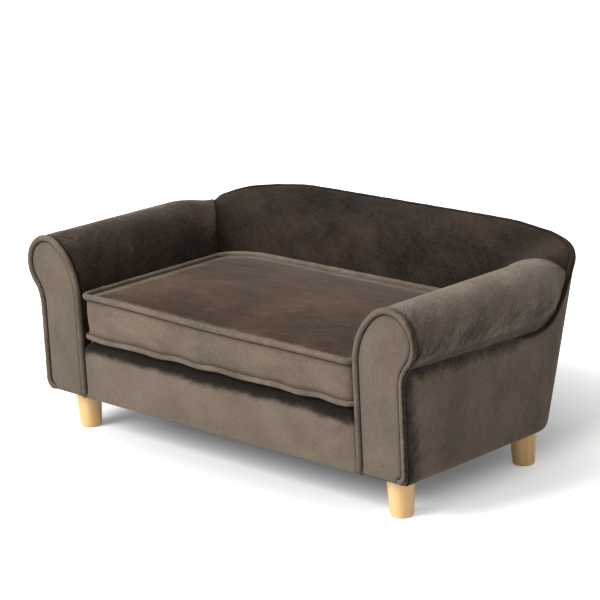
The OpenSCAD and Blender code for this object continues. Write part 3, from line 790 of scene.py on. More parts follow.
def swell(piece: Piece, held: Callable[[Vector, float], float], cap: float,
          pressure: float = 4.0) -> None:
    """Swell a piece by a short cloth simulation, held along its seams.

    Args:
        piece: The piece, an open sheet or a closed form.
        held: How firmly a point is held, from its place and its distance to the
            border, from 0 to 1.
        cap: The furthest that a point may move, in metres.
        pressure: The pressure that swells it.
    """
    rest = [v.co.copy() for v in piece.data.vertices]
    edges = open_edges(piece)
    tree = tree_of(rest[i].lerp(rest[j], t) for i, j in edges
                   for t in (0.0, 0.25, 0.5, 0.75))
    group = piece.vertex_groups.new(name="seams")
    for v in piece.data.vertices:
        gap = tree.find(v.co)[2] if edges else 1.0
        group.add([v.index], clip(held(v.co, gap)), "REPLACE")
    take_up(piece)
    cloth = piece.modifiers.new("cloth", "CLOTH")
    for key, value in {
            "quality": 5, "mass": 0.3, "tension_stiffness": 12.0,
            "compression_stiffness": 12.0, "shear_stiffness": 8.4,
            "bending_stiffness": 0.6, "air_damping": 4.0, "use_pressure": True,
            "uniform_pressure_force": pressure, "vertex_group_mass": "seams"}.items():
        setattr(cloth.settings, key, value)
    cloth.settings.effector_weights.gravity = 0.0
    cloth.point_cache.frame_start, cloth.point_cache.frame_end = 1, 20
    for number in range(1, 21):
        bpy.context.scene.frame_set(number)
    bpy.ops.object.modifier_apply(modifier=cloth.name)
    bpy.context.scene.frame_set(1)
    piece.vertex_groups.clear()
    furthest = 0.0
    for v, old in zip(piece.data.vertices, rest):
        move = v.co - old
        furthest = max(furthest, move.length)
        if move.length > cap:
            v.co = old + move * (cap / move.length)
    log.info("%s swelled by up to %.1f mm", piece.name, furthest * 1000)


class Edge(Enum):
    """The four edges of a sheet: its axis, and whether it is the far end."""

    FIRST = (0, False)
    LAST = (0, True)
    LOW = (1, False)
    HIGH = (1, True)


@dataclass
class Sheet:
    """A panel of cloth as a regular grid of points, from seam to seam."""

    grid: np.ndarray
    turned: bool = False

    def facing(self, way: Point) -> "Sheet":
        """Turn the sheet's outer face towards a direction at its middle.

        Args:
            way: The direction.

        Returns:
            The sheet itself.
        """
        middle = tuple(n // 2 for n in self.grid.shape[:2])
        if float(np.dot(self.normals()[middle], way)) < 0:
            self.turned = not self.turned
        return self

    @classmethod
    def of_node(cls, node: str, over: str, corners: list[Point], gap: float) -> "Sheet":
        """Lay a regular grid over the outer face of a node.

        Args:
            node: The cover's node.
            over: The node that it lies over.
            corners: The four corners, two along the first edge and then back.
            gap: Rough distance between two points.

        Returns:
            The sheet.
        """
        skin = outer_skin(node, over)
        rim, follows = set(open_edges(skin)), {}
        for ring in faces_of(skin):
            for here, there in zip(ring, ring[1:] + ring[:1]):
                if (min(here, there), max(here, there)) in rim:
                    follows[here] = there
        loop = [next(iter(follows))]
        while follows[loop[-1]] != loop[0]:
            loop.append(follows[loop[-1]])
        line = [skin.data.vertices[i].co.copy() for i in loop]
        cuts = [min(range(len(line)), key=lambda i: (line[i] - Vector(c)).length)
                for c in corners]
        if (cuts[1] - cuts[0]) % len(line) > (cuts[3] - cuts[0]) % len(line):
            line = line[::-1]
            cuts = [len(line) - 1 - c for c in cuts]
        sides = []
        for start, end in zip(cuts, cuts[1:] + cuts[:1]):
            span = (end - start) % len(line)
            sides.append([line[(start + i) % len(line)] for i in range(span + 1)])
        sides[2], sides[3] = sides[2][::-1], sides[3][::-1]
        shares = [cls.stations((length(sides[a]) + length(sides[b])) / 2, gap)
                  for a, b in ((0, 2), (1, 3))]
        low, high = (spaced(sides[k], shares[0])[:, None] for k in (0, 2))
        left, right = (spaced(sides[k], shares[1])[None, :] for k in (3, 1))
        u, v = shares[0][:, None, None], shares[1][None, :, None]
        grid = ((1 - v) * low + v * high + (1 - u) * left + u * right
                - (1 - u) * (1 - v) * low[0] - u * (1 - v) * low[-1]
                - (1 - u) * v * high[0] - u * v * high[-1])
        tree = surface(skin)
        for lap in range(3):
            if lap:
                grid[1:-1, 1:-1] = (grid[1:-1, 1:-1] * 2 + grid[2:, 1:-1]
                                    + grid[:-2, 1:-1]) / 4
            for i in range(1, grid.shape[0] - 1):
                for j in range(1, grid.shape[1] - 1):
                    grid[i, j] = tree.find_nearest(Vector(grid[i, j]))[0]
        middle = Vector(grid[grid.shape[0] // 2, grid.shape[1] // 2])
        bpy.data.objects.remove(skin)
        return cls(grid).facing(tuple(tree.find_nearest(middle)[1]))

    @staticmethod
    def stations(run: float, gap: float) -> np.ndarray:
        """Give the shares at which a side is divided, closer at its two ends.

        Args:
            run: The side's length.
            gap: Rough distance between two points in its middle.

        Returns:
            The shares of the length, from 0 to 1.
        """
        hem, inner = np.array([0.0, 0.0012, 0.0027, 0.0048]), 0.0078
        count = max(4, round((run - 2 * inner) / gap))
        middle = np.linspace(inner, run - inner, count + 1)
        return np.concatenate([hem, middle, run - hem[::-1]]) / run

    def normals(self) -> np.ndarray:
        """Give the outward direction at each point.

        Returns:
            One direction of length 1 for each point.
        """
        across = np.cross(np.gradient(self.grid, axis=0), np.gradient(self.grid, axis=1))
        across = across / np.maximum(np.linalg.norm(across, axis=2, keepdims=True), 1e-12)
        return -across if self.turned else across

    def raised(self, lift: np.ndarray) -> None:
        """Raise each point by its own height."""
        self.grid = self.grid + self.normals() * lift[..., None]

    def runs(self, axis: int) -> np.ndarray:
        """Give how far each point is from the start of its row along an axis.

        Args:
            axis: The axis of the grid, 0 or 1.

        Returns:
            One distance for each point.
        """
        steps = np.linalg.norm(np.diff(self.grid, axis=axis), axis=2)
        start = np.zeros_like(np.take(steps, [0], axis=axis))
        return np.concatenate([start, np.cumsum(steps, axis=axis)], axis=axis)

    def gap(self, edge: Edge) -> np.ndarray:
        """Give how far each point is from an edge.

        Args:
            edge: The edge.

        Returns:
            One distance for each point.
        """
        axis, far = edge.value
        run = self.runs(axis)
        return np.take(run, [-1], axis=axis) - run if far else run

    def dip(self, edge: Edge, depth: float, width: float) -> None:
        """Round the cloth inwards along an edge, where its seam holds it down."""
        share = np.clip(1 - self.gap(edge) / width, 0, 1)
        self.raised(-depth * (1 - np.sqrt(1 - share ** 2)))

    def draw(self, edge: Edge, target: Callable[[Vector], Vector], width: float) -> None:
        """Draw an edge to where its seam is, and ease the cloth behind it.

        Args:
            edge: The edge.
            target: What gives the seam's place for a point of the edge.
            width: How far behind the edge the cloth follows.
        """
        axis, far = edge.value
        row = np.take(self.grid, -1 if far else 0, axis=axis)
        moves = np.array([tuple(target(Vector(p)) - Vector(p)) for p in row])
        share = np.clip(1 - self.gap(edge) / width, 0, 1) ** 2.2
        self.grid = self.grid + np.expand_dims(moves, axis) * share[..., None]

    def pucker(self, edge: Edge, height: float, reach: float, wave: float,
               slant: float, seed: int) -> None:
        """Raise the small folds that start from a seam.

        Args:
            edge: The seam's edge.
            height: Height of the folds in metres.
            reach: How far they run into the panel.
            wave: Rough distance between two folds.
            slant: How much they lean along the seam.
            seed: What sets their pattern.
        """
        gap, along = self.gap(edge), self.runs(1 - edge.value[0])
        self.raised(height * np.exp(-(gap / reach) ** 2) * (1 - np.exp(-gap / 0.003))
                    * wander((along + gap * slant) * 2 * math.pi / wave / 2.3, seed))

    def moved(self, move: Callable[[Vector], Vector]) -> None:
        """Move every point of the sheet."""
        points = [tuple(move(Vector(p))) for p in self.grid.reshape(-1, 3)]
        self.grid = np.array(points).reshape(self.grid.shape)

    def refined(self) -> "Sheet":
        """Give the sheet with a smooth row between every two rows, both ways.

        Returns:
            The finer sheet.
        """
        grid = self.grid
        for _ in range(2):
            wide = np.concatenate([2 * grid[:1] - grid[1:2], grid,
                                   2 * grid[-1:] - grid[-2:-1]])
            made = np.empty((2 * len(grid) - 1, *grid.shape[1:]))
            made[::2] = grid
            made[1::2] = (9 * (wide[1:-2] + wide[2:-1]) - wide[:-3] - wide[3:]) / 16
            grid = made.transpose(1, 0, 2)
        return Sheet(grid, self.turned)

    def piece(self, name: str) -> Piece:
        """Make the sheet a piece, with its points in the grid's order.

        Args:
            name: The piece's name.

        Returns:
            The piece, at the origin.
        """
        n, m = self.grid.shape[:2]
        faces = [(i * m + j, (i + 1) * m + j, (i + 1) * m + j + 1, i * m + j + 1)
                 for i in range(n - 1) for j in range(m - 1)]
        if self.turned:
            faces = [face[::-1] for face in faces]
        return piece_of(name, self.grid.reshape(-1, 3), faces)

    def swelled(self, cap: float, held: Callable[[Vector], bool] = lambda at: False
                ) -> "Sheet":
        """Give the sheet swelled by a cloth simulation between its seams.

        Args:
            cap: The furthest that a point may move.
            held: Whether a point is held also away from the seams.

        Returns:
            The swelled sheet.
        """
        piece = self.piece("swelling_sheet")
        swell(piece, lambda at, gap: 1.0 if gap < 0.003 or held(at) else 0.0, cap,
              pressure=5.0)
        grid = np.array([tuple(v.co) for v in piece.data.vertices])
        bpy.data.objects.remove(piece)
        return Sheet(grid.reshape(self.grid.shape), self.turned)


def sewn_cord(name: str, line: list[Point], radius: float, finish: Finish, body: Body,
              stands_for: Iterable[str] = (), closed: bool = False,
              uneven: float = 0.05, shift: Callable[[Vector], Vector] | None = None,
              taper: float = 0.0, stitched: bool = False) -> Piece:
    """Sew a piping or a thread along a line.

    Args:
        name: The new piece's name.
        line: The points of its middle, in metres.
        radius: Its radius in metres.
        finish: Its finish.
        body: The body that carries it.
        stands_for: The nodes that it replaces.
        closed: Whether its end meets its start.
        uneven: Share by which its thickness varies.
        shift: What moves its points, where the cloth is drawn or sags.
        taper: Length at each end over which it thins.
        stitched: Whether it dips into the cloth between its stitches.

    Returns:
        The new piece.
    """
    step = 0.003
    points = evenly(line, step, closed)
    curve = bpy.data.curves.new(name, "CURVE")
    curve.dimensions = "3D"
    curve.bevel_depth, curve.bevel_resolution = radius, 3
    curve.use_fill_caps = not closed
    run = curve.splines.new("POLY")
    run.points.add(len(points) - 1)
    run.use_cyclic_u = closed
    for i, (point, place) in enumerate(zip(points, run.points)):
        at = Vector(point)
        place.co = (*(at + shift(at) if shift else at), 1.0)
        place.radius = 1.0 + uneven * wander(i * 0.35, len(name))
        if stitched and i % 2:
            place.radius *= 0.35
        if taper:
            end = min(i, len(points) - 1 - i) * step
            place.radius *= mix(0.3, 1.0, ease(end / taper))
    take_up(placed(name, curve))
    bpy.ops.object.convert(target="MESH")
    piece = bpy.context.object
    dress(piece, finish, body, stands_for, angle=80)
    return piece


# ---------------------------------------------------------------- sewing pattern


@dataclass(frozen=True)
class Pattern:
    """The sofa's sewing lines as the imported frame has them, in metres."""

    half_seat: float = 0.252
    body_d: float = 0.3876
    leg_h: float = 0.054
    arm_w: float = 0.0815
    arm_h: float = 0.274
    roll_out: float = 0.0215
    roll_end_out: float = 0.004
    roll_drop: float = 0.006
    roll_r: float = 0.042
    inner_r: float = 0.088
    neck_r: float = 0.040
    foot_r: float = 0.016
    piping_r: float = 0.004
    proud: float = 0.001
    facing_in: float = 0.0083
    rake: float = math.radians(17)
    corner_w: float = 0.098
    corner_d: float = 0.064
    back_h: float = 0.2862
    rise_l: float = 0.143
    rise_end: float = 0.004
    steep: float = 0.65
    steep_l: float = 0.72
    bias: float = 1.7
    seam_turn: float = 13 / 90
    seam_slant: float = math.radians(40)
    seam_out: float = 0.0023
    lap: float = math.radians(35)
    lap_gap: float = 0.0043
    crease_front: float = 0.021
    crease_rear: float = 0.009
    cushion_x: float = 0.251
    cushion_front: float = -0.1938
    cushion_rear: float = 0.1036
    cushion_corner_r: float = 0.014
    rear_corner_w: float = 0.072
    rear_corner_y: float = 0.0608
    cushion_low: float = 0.142
    cushion_high: float = 0.2

    @property
    def front(self) -> float:
        """Depth of the front of the piping."""
        return -self.body_d / 2

    @property
    def cover_front(self) -> float:
        """Depth at which the outer cover starts behind the front piping."""
        return self.front + 2 * self.piping_r

    @property
    def side_x(self) -> float:
        """Half the width over the outer cover."""
        return self.half_seat + self.arm_w - self.proud

    @property
    def neck_z(self) -> float:
        """Height of the lower end of the roll's neck."""
        return self.arcs(self.roll_out)[2][1]

    @property
    def rise_y(self) -> float:
        """Depth at which the back's edge starts to rise."""
        return self.back_y(self.back_h - self.piping_r) - self.rise_end - self.rise_l

    def arcs(self, out: float) -> Flat:
        """Give the centres of the inner arc, the roll and the neck for an overhang.

        Args:
            out: The roll's overhang.

        Returns:
            The centres, in width and height.
        """
        x = self.half_seat + self.arm_w
        drop = (self.roll_drop * (self.roll_out - out)
                / (self.roll_out - self.roll_end_out))
        rx, rz = x + out - self.roll_r, self.arm_h - self.roll_r - drop
        ix, nx = self.half_seat + self.inner_r, x + self.neck_r
        return [(ix, rz - math.sqrt((self.inner_r - self.roll_r) ** 2 - (ix - rx) ** 2)),
                (rx, rz),
                (nx, rz - math.sqrt((self.neck_r + self.roll_r) ** 2 - (nx - rx) ** 2))]

    def scroll(self, inset: float, out: float, end_z: float) -> Flat:
        """Follow the scroll from the inner wall over the roll.

        Args:
            inset: Distance inside the piping's outer edge.
            out: The roll's overhang.
            end_z: Height of the line's end on the outer side.

        Returns:
            The line's points, in width and height.
        """
        (ix, iz), (rx, rz), (nx, nz) = self.arcs(out)
        a_in, a_out = math.atan2(rz - iz, rx - ix), math.atan2(nz - rz, nx - rx)
        roll, neck = self.roll_r - inset, self.neck_r + inset
        if end_z >= rz + roll * math.sin(a_out):
            ends = (math.asin(min((end_z - rz) / roll, 1.0)), a_out + math.pi)
        else:
            ends = (a_out, math.pi - math.asin((end_z - nz) / neck))
        parts = ((ix, iz, self.inner_r - inset, math.pi, a_in),
                 (rx, rz, roll, a_in, ends[0]), (nx, nz, neck, a_out + math.pi, ends[1]))
        line = []
        for x, z, r, start, end in parts:
            count = max(2, round(120 * r * abs(end - start) / 0.26))
            if abs(end - start) > 1e-6:
                line += [(x + r * math.cos(t), z + r * math.sin(t))
                         for t in np.linspace(start, end, count + 1)]
        return line

    def arm_line(self, inset: float, foot: float) -> Flat:
        """Follow the right arm's outline from its inner foot over the roll.

        Args:
            inset: Distance inside the piping's outer edge.
            foot: Height of the inner foot.

        Returns:
            The line's points, in width and height.
        """
        r = self.foot_r - inset
        turns = [math.pi / 2 * i / 8 for i in range(9)]
        return [(self.half_seat + inset, foot),
                *self.scroll(inset, self.roll_out, self.neck_z),
                *((self.half_seat + self.arm_w - self.foot_r + r * math.cos(turn),
                   self.leg_h + self.foot_r - r * math.sin(turn)) for turn in turns)]

    def seam_point(self) -> Vector:
        """Give the point where the roll's end meets the rim piping.

        Returns:
            The point on the right side.
        """
        place = 1 + self.seam_turn
        out, up = self.rim_across(place)
        way = up * math.sin(self.lap) - out * math.cos(self.lap)
        return self.rim(place) + (self.piping_r + self.seam_out) * way

    def arm_row(self, share: float, foot: float) -> list[Point]:
        """Follow the right arm's cover across at a share of its depth.

        Args:
            share: -1 at the front, 0 where the back's edge starts to rise and 1 at
                the seam with the back.
            foot: Height of the inner foot.

        Returns:
            The row's points.
        """
        seam, rise, front = self.seam_point(), self.rise_y, self.front + self.facing_in
        t = clip(share)

        def depth(x: float) -> float:
            """Give the depth of the row at a width."""
            end = seam.y + (min(x, seam.x) - seam.x) * math.tan(self.seam_slant)
            return mix(rise, end, t) - 0.0003 * t
        y = depth(seam.x) if t else rise
        slope = (self.edge_z(y + 0.001) - self.edge_z(y - 0.001)) / 0.002
        over_edge = self.edge_z(y) + self.lap_gap * math.sqrt(1 + slope * slope)
        end_z = mix(over_edge, seam.z, t ** 3)
        out = mix(self.roll_out, self.roll_end_out, ease(t))
        end_z = max(end_z, self.arcs(out)[2][1] + 0.0003)
        if share < 0:
            end_z = mix(end_z, self.neck_z + self.crease_front, -share)
        line = self.scroll(self.proud, out, end_z)
        pull = (seam.x - line[-1][0]) * t
        run = np.concatenate([[0.0], np.cumsum(steps_of(line)[1])])
        line = [(x + pull * (r / run[-1]) ** 4, z) for (x, z), r in zip(line, run)]
        row = [(line[0][0], mix(foot, line[0][1], k / 12)) for k in range(12)] + line
        if share < 0:
            return [(x, mix(rise, front, -share), z) for x, z in row]
        return [(x, depth(x), z) for x, z in row]

    def back_y(self, z: float) -> float:
        """Depth of the outer face of the back at a height."""
        edge = self.back_h - self.piping_r
        return self.body_d / 2 - self.proud - (edge - z) * math.tan(self.rake)

    def edge_z(self, y: float) -> float:
        """Height of the back's edge, where its piping runs, at a depth.

        Args:
            y: The depth.

        Returns:
            The height.
        """
        share = clip((y - self.rise_y) / self.rise_l)
        rear = self.neck_z + self.crease_rear
        if y <= self.rise_y:
            lead = clip((y - self.front) / (self.rise_y - self.front))
            return mix(self.neck_z + self.crease_front, rear, lead)
        shape = (self.steep * ease(clip(share / self.steep_l) ** self.bias)
                 + (1 - self.steep) * share ** 3)
        return mix(rear, self.back_h - self.piping_r, shape)

    def plan(self, place: float, inset: float, z: float) -> Vector:
        """Give a point round the outer cover.

        Args:
            place: 0 at the front, 1 where the corner starts, 2 where it ends and
                3 at the middle of the back.
            inset: Distance inside the cover's face.
            z: Height.

        Returns:
            The point on the right side.
        """
        y, turn = self.back_y(z), math.pi / 2 * clip(place - 1)
        if place < 1:
            return Vector((self.side_x - inset,
                           mix(self.cover_front, y - self.corner_d, place), z))
        if place <= 2:
            return Vector((self.side_x - self.corner_w
                           + (self.corner_w - inset) * math.cos(turn),
                           y - self.corner_d
                           + (self.corner_d - inset) * math.sin(turn), z))
        return Vector((mix(self.side_x - self.corner_w, 0, place - 2), y - inset, z))

    def rim(self, place: float) -> Vector:
        """Give a point of the back piping's line.

        Args:
            place: The place round the cover, as plan takes it.

        Returns:
            The point on the right side.
        """
        z, inset = self.arm_h, self.piping_r - self.proud
        for _ in range(12):
            z = self.edge_z(self.plan(place, inset, z).y)
        return self.plan(place, inset, z)

    def rim_across(self, place: float) -> tuple[Vector, Vector]:
        """Give the outward and the upward direction across the back piping.

        Args:
            place: The place round the cover, as plan takes it.

        Returns:
            Both directions, of length 1.
        """
        turn = math.pi / 2 * clip(place - 1)
        out = Vector((math.cos(turn), math.sin(turn), 0))
        along = self.rim(min(place + 0.01, 3.0)) - self.rim(place - 0.01)
        up = along.normalized().cross(out).normalized()
        return out, (up if up.z > 0 else -up)

    def rise_place(self) -> float:
        """Place round the cover's plan at which the back's edge starts to rise."""
        corner = self.back_y(self.neck_z + self.crease_rear) - self.corner_d
        return (self.rise_y - self.cover_front) / (corner - self.cover_front)

    def seam_path(self, sunk: float = 0.0) -> list[Vector]:
        """Follow the right roll's crease and then the rim, to the back's middle.

        Args:
            sunk: How much deeper the line lies at the front than at the rise.

        Returns:
            The line's points.
        """
        x, line = self.side_x - (self.piping_r - self.proud), []
        for i in range(60):
            y = mix(self.cover_front, self.rise_y, i / 60)
            line.append(Vector((x - sunk * (1 - i / 60), y, self.edge_z(y))))
        first = self.rise_place()
        return line + [self.rim(mix(first, 3.0, i / 160)) for i in range(161)]

    def cushion_line(self, inset: float, gap: float = 0.006) -> Flat:
        """Follow the cushion's plan all round.

        Args:
            inset: Distance inside the piping's outer edge.
            gap: Rough distance between two points.

        Returns:
            The closed line's points, in width and depth.
        """
        x, r = self.cushion_x, self.cushion_corner_r
        front, rear, w = self.cushion_front, self.cushion_rear, self.rear_corner_w
        half = [(0.0, front + inset), (x - r, front + inset)]
        half += [(x - r + (r - inset) * math.sin(t * math.pi / 16),
                  front + r - (r - inset) * math.cos(t * math.pi / 16))
                 for t in range(1, 9)]
        half += [(x - w + (w - inset) * math.cos(t * math.pi / 32),
                  self.rear_corner_y
                  + (rear - self.rear_corner_y - inset) * math.sin(t * math.pi / 32))
                 for t in range(17)]
        half.append((0.0, rear - inset))
        ring = half + [(-px, py) for px, py in reversed(half[1:-1])]
        return evenly(ring, gap, closed=True)


PATTERN = Pattern()


# ---------------------------------------------------------------- the sofa


@dataclass
class Legs:
    """The four turned legs, screwed up into the base."""

    ends: tuple[str, ...] = ("front", "rear")
    fixings: tuple[str, ...] = ("hanger_bolts", "tee_nuts", "cover_staples")

    def build(self) -> None:
        """Dress the legs and their fixings."""
        repaint(LEG_WOOD, *(f"{end}_{side.word}_leg" for end in self.ends
                            for side in Side))
        repaint(STEEL, *self.fixings)


@dataclass
class InnerFrame:
    """The boards, the tubes and the black cloth under the velvet."""

    boards: tuple[str, ...] = (
        "leg_blocks", "base_board", "front_rail_board", "rear_rail_board",
        "centre_brace", "seat_board", "back_panel", "left_arm_formers",
        "right_arm_formers", "left_arm_board", "right_arm_board", "left_tack_rail",
        "right_tack_rail")
    cloths: tuple[str, ...] = ("deck_cloth", "dust_cover")
    tubes: tuple[str, ...] = ("left_roll_tube", "right_roll_tube")

    def build(self) -> None:
        """Dress every node of the inner frame."""
        repaint(BOARD_WOOD, *self.boards)
        repaint(BLACK_CLOTH, *self.cloths)
        repaint(TUBE_BOARD, *self.tubes)


@dataclass
class ScrollArm:
    """One arm: the padded roll, the padded facing, its piping and its seams."""

    side: Side
    gap: float = 0.0046
    foot: float = 0.0675
    across_run: float = 0.42
    rise_run: float = 0.090
    pad_t: float = 0.010
    puff: float = 0.0018
    held_z: float = 0.115
    tuck_w: float = 0.022
    facing_y: float = 0.0035
    facing_foot: float = 0.0555
    facing_puff: float = 0.0022
    voxel: float = 0.0022
    seam_r: float = 0.0005

    def outline(self, inset: float, y: float) -> list[Point]:
        """Give the arm's outline at a depth behind the piping's front."""
        return [(x * self.side.value, PATTERN.front + y, z)
                for x, z in PATTERN.arm_line(inset, PATTERN.leg_h)]

    def sided(self, p: Point) -> Point:
        """Give a point of the right arm on this arm."""
        return (p[0] * self.side.value, p[1], p[2])

    def cover(self) -> Sheet:
        """Lay out the cover from its foot over the roll, and from front to rear.

        Returns:
            The sheet, with its outer face up.
        """
        run = PATTERN.rise_y - PATTERN.front - PATTERN.facing_in
        total = run + self.rise_run
        across = Sheet.stations(self.across_run, self.gap)
        rows = []
        for at in Sheet.stations(total, self.gap) * total:
            part = (at - run) / (run if at < run else self.rise_run)
            row = PATTERN.arm_row(part, self.foot)
            rows.append(spaced([self.sided(p) for p in row], across))
        return Sheet(np.array(rows).transpose(1, 0, 2)).facing((0, 0, 1))

    def roll(self) -> None:
        """Build the padded cover of the roll and the inner side."""
        word = self.side.word
        sheet = self.cover().swelled(self.puff, lambda at: at.z < self.held_z).refined()
        line = tree_of(self.sided(p) for p in PATTERN.seam_path(-0.0015))
        sheet.dip(Edge.LOW, depth=0.0022, width=0.008)
        sheet.draw(Edge.LAST, lambda at: line.find(at)[0], self.tuck_w)
        sheet.draw(Edge.HIGH, lambda at: at + Vector((0, 0.0006, 0)), width=0.004)
        sheet.pucker(Edge.LOW, height=0.0009, reach=0.030, wave=0.026, slant=0.9, seed=3)
        sheet.pucker(Edge.LAST, height=0.0007, reach=0.020, wave=0.022, slant=0.5, seed=5)
        sheet.pucker(Edge.HIGH, height=0.0006, reach=0.018, wave=0.024, slant=0.2, seed=8)
        pad = sheet.piece(f"{word}_arm_roll")
        seams = tree_of([*self.outline(0.001, 0.008), *sheet.grid[-1]])
        joint = tree_of(sheet.grid[:, -1])
        # painted shade: crease darkens the creases at the seams and the joint; against
        # darkens the inner side and the underside of the roll
        mark(pad, "crease", lambda at: 0.85 * fade(seams.find(at)[2], 0.0036)
             + 0.5 * fade(joint.find(at)[2], 0.003))
        mark(pad, "against", self.against)
        finish_with(pad, "SOLIDIFY", thickness=self.pad_t, offset=-1.0)
        dress(pad, ROLL, Body.SOFA, [f"{word}_arm_cover", f"{word}_arm_foam"])

    def against(self, at: Vector) -> float:
        """Say how much painted shade the roll gets at a point, where its nap turns from
        the light.

        Args:
            at: The point.

        Returns:
            The share, highest on the inner side and under the roll.
        """
        x, z = at.x * self.side.value, at.z
        inner = ramp(x, 0.300, 0.270) * ramp(z, 0.262, 0.232)
        # painted shade: the left arm's inner side faces away from the light
        if self.side is Side.LEFT:
            inner = 0.97 * ramp(x, 0.332, 0.298)
        outer = ramp(x, 0.325, 0.345) * ramp(z, 0.252, 0.217)
        under = ramp(z, 0.222, 0.200) if x > 0.3 else 0.0
        return max(inner, 0.50 * outer, 0.95 * under)

    def facing(self) -> None:
        """Build the padded facing at the arm's front."""
        word = self.side.word
        pad = merged_copy(f"{word}_arm_facing", f"{word}_arm_front")
        finish_with(pad, "REMESH", mode="VOXEL", voxel_size=self.voxel)
        finish_with(pad, "SMOOTH", factor=0.5, iterations=4)
        rear = PATTERN.cover_front - 0.0032
        line = evenly(PATTERN.arm_line(PATTERN.facing_in, self.facing_foot), 0.001)
        edge = tree_of((x * self.side.value, 0.0, z) for x, z in line)

        def inside(at: Vector) -> float:
            """Give how far a point lies within the facing's edge."""
            return edge.find((at.x, 0.0, at.z))[2]
        swell(pad, lambda at, gap: 1.0 if at.y > rear or inside(at) < 0.003 else 0.0,
              self.facing_puff, pressure=3.0)
        # painted shade in the crease inside the piping
        mark(pad, "crease", lambda at: 0.55 * fade(inside(at), 0.003))
        dress(pad, FACING, Body.SOFA, [f"{word}_arm_facing"])

    def turned_away(self, at: Vector, middle: Vector) -> float:
        """Say how much painted shade the piping gets at a point on its outer half, turned
        from the light.

        Args:
            at: The point.
            middle: The nearest point of the piping's middle line.

        Returns:
            The share, with 0 on the inner leg.
        """
        if at.x * self.side.value < PATTERN.half_seat + 0.03:
            return 0.0
        out = (at.x - middle.x) * self.side.value + 0.4 * (at.y - middle.y)
        top = 0.45 if self.side is Side.RIGHT else 0.8
        return mix(top, 0.95, ramp(at.z, 0.225, 0.195)) * ramp(out, -0.0005, 0.0020)

    def build(self) -> None:
        """Build and dress the arm."""
        word, r = self.side.word, PATTERN.piping_r
        self.roll()
        self.facing()
        line = self.outline(r, r)[:-2]
        x, y, z = line[-1]
        line += [(x - self.side.value * t, y + back, z + up) for t, back, up in
                 ((0.0025, 0.0015, 0.0), (0.004, 0.005, 0.0004), (0.0045, 0.010, 0.002))]
        cord = sewn_cord(f"{word}_front_piping", line, r, PIPING, Body.SOFA,
                         [f"{word}_arm_piping"], taper=0.008)
        middle = tree_of(line)
        # painted shade on the outer half of the front piping
        mark(cord, "against", lambda at: self.turned_away(at, middle.find(at)[0]))
        # a dark cord: the thread, and painted shadow in the crease inside the piping
        sewn_cord(f"{word}_facing_seam", self.outline(2 * r + 0.0002, self.facing_y),
                  self.seam_r, SEAM_SHADOW, Body.SOFA)


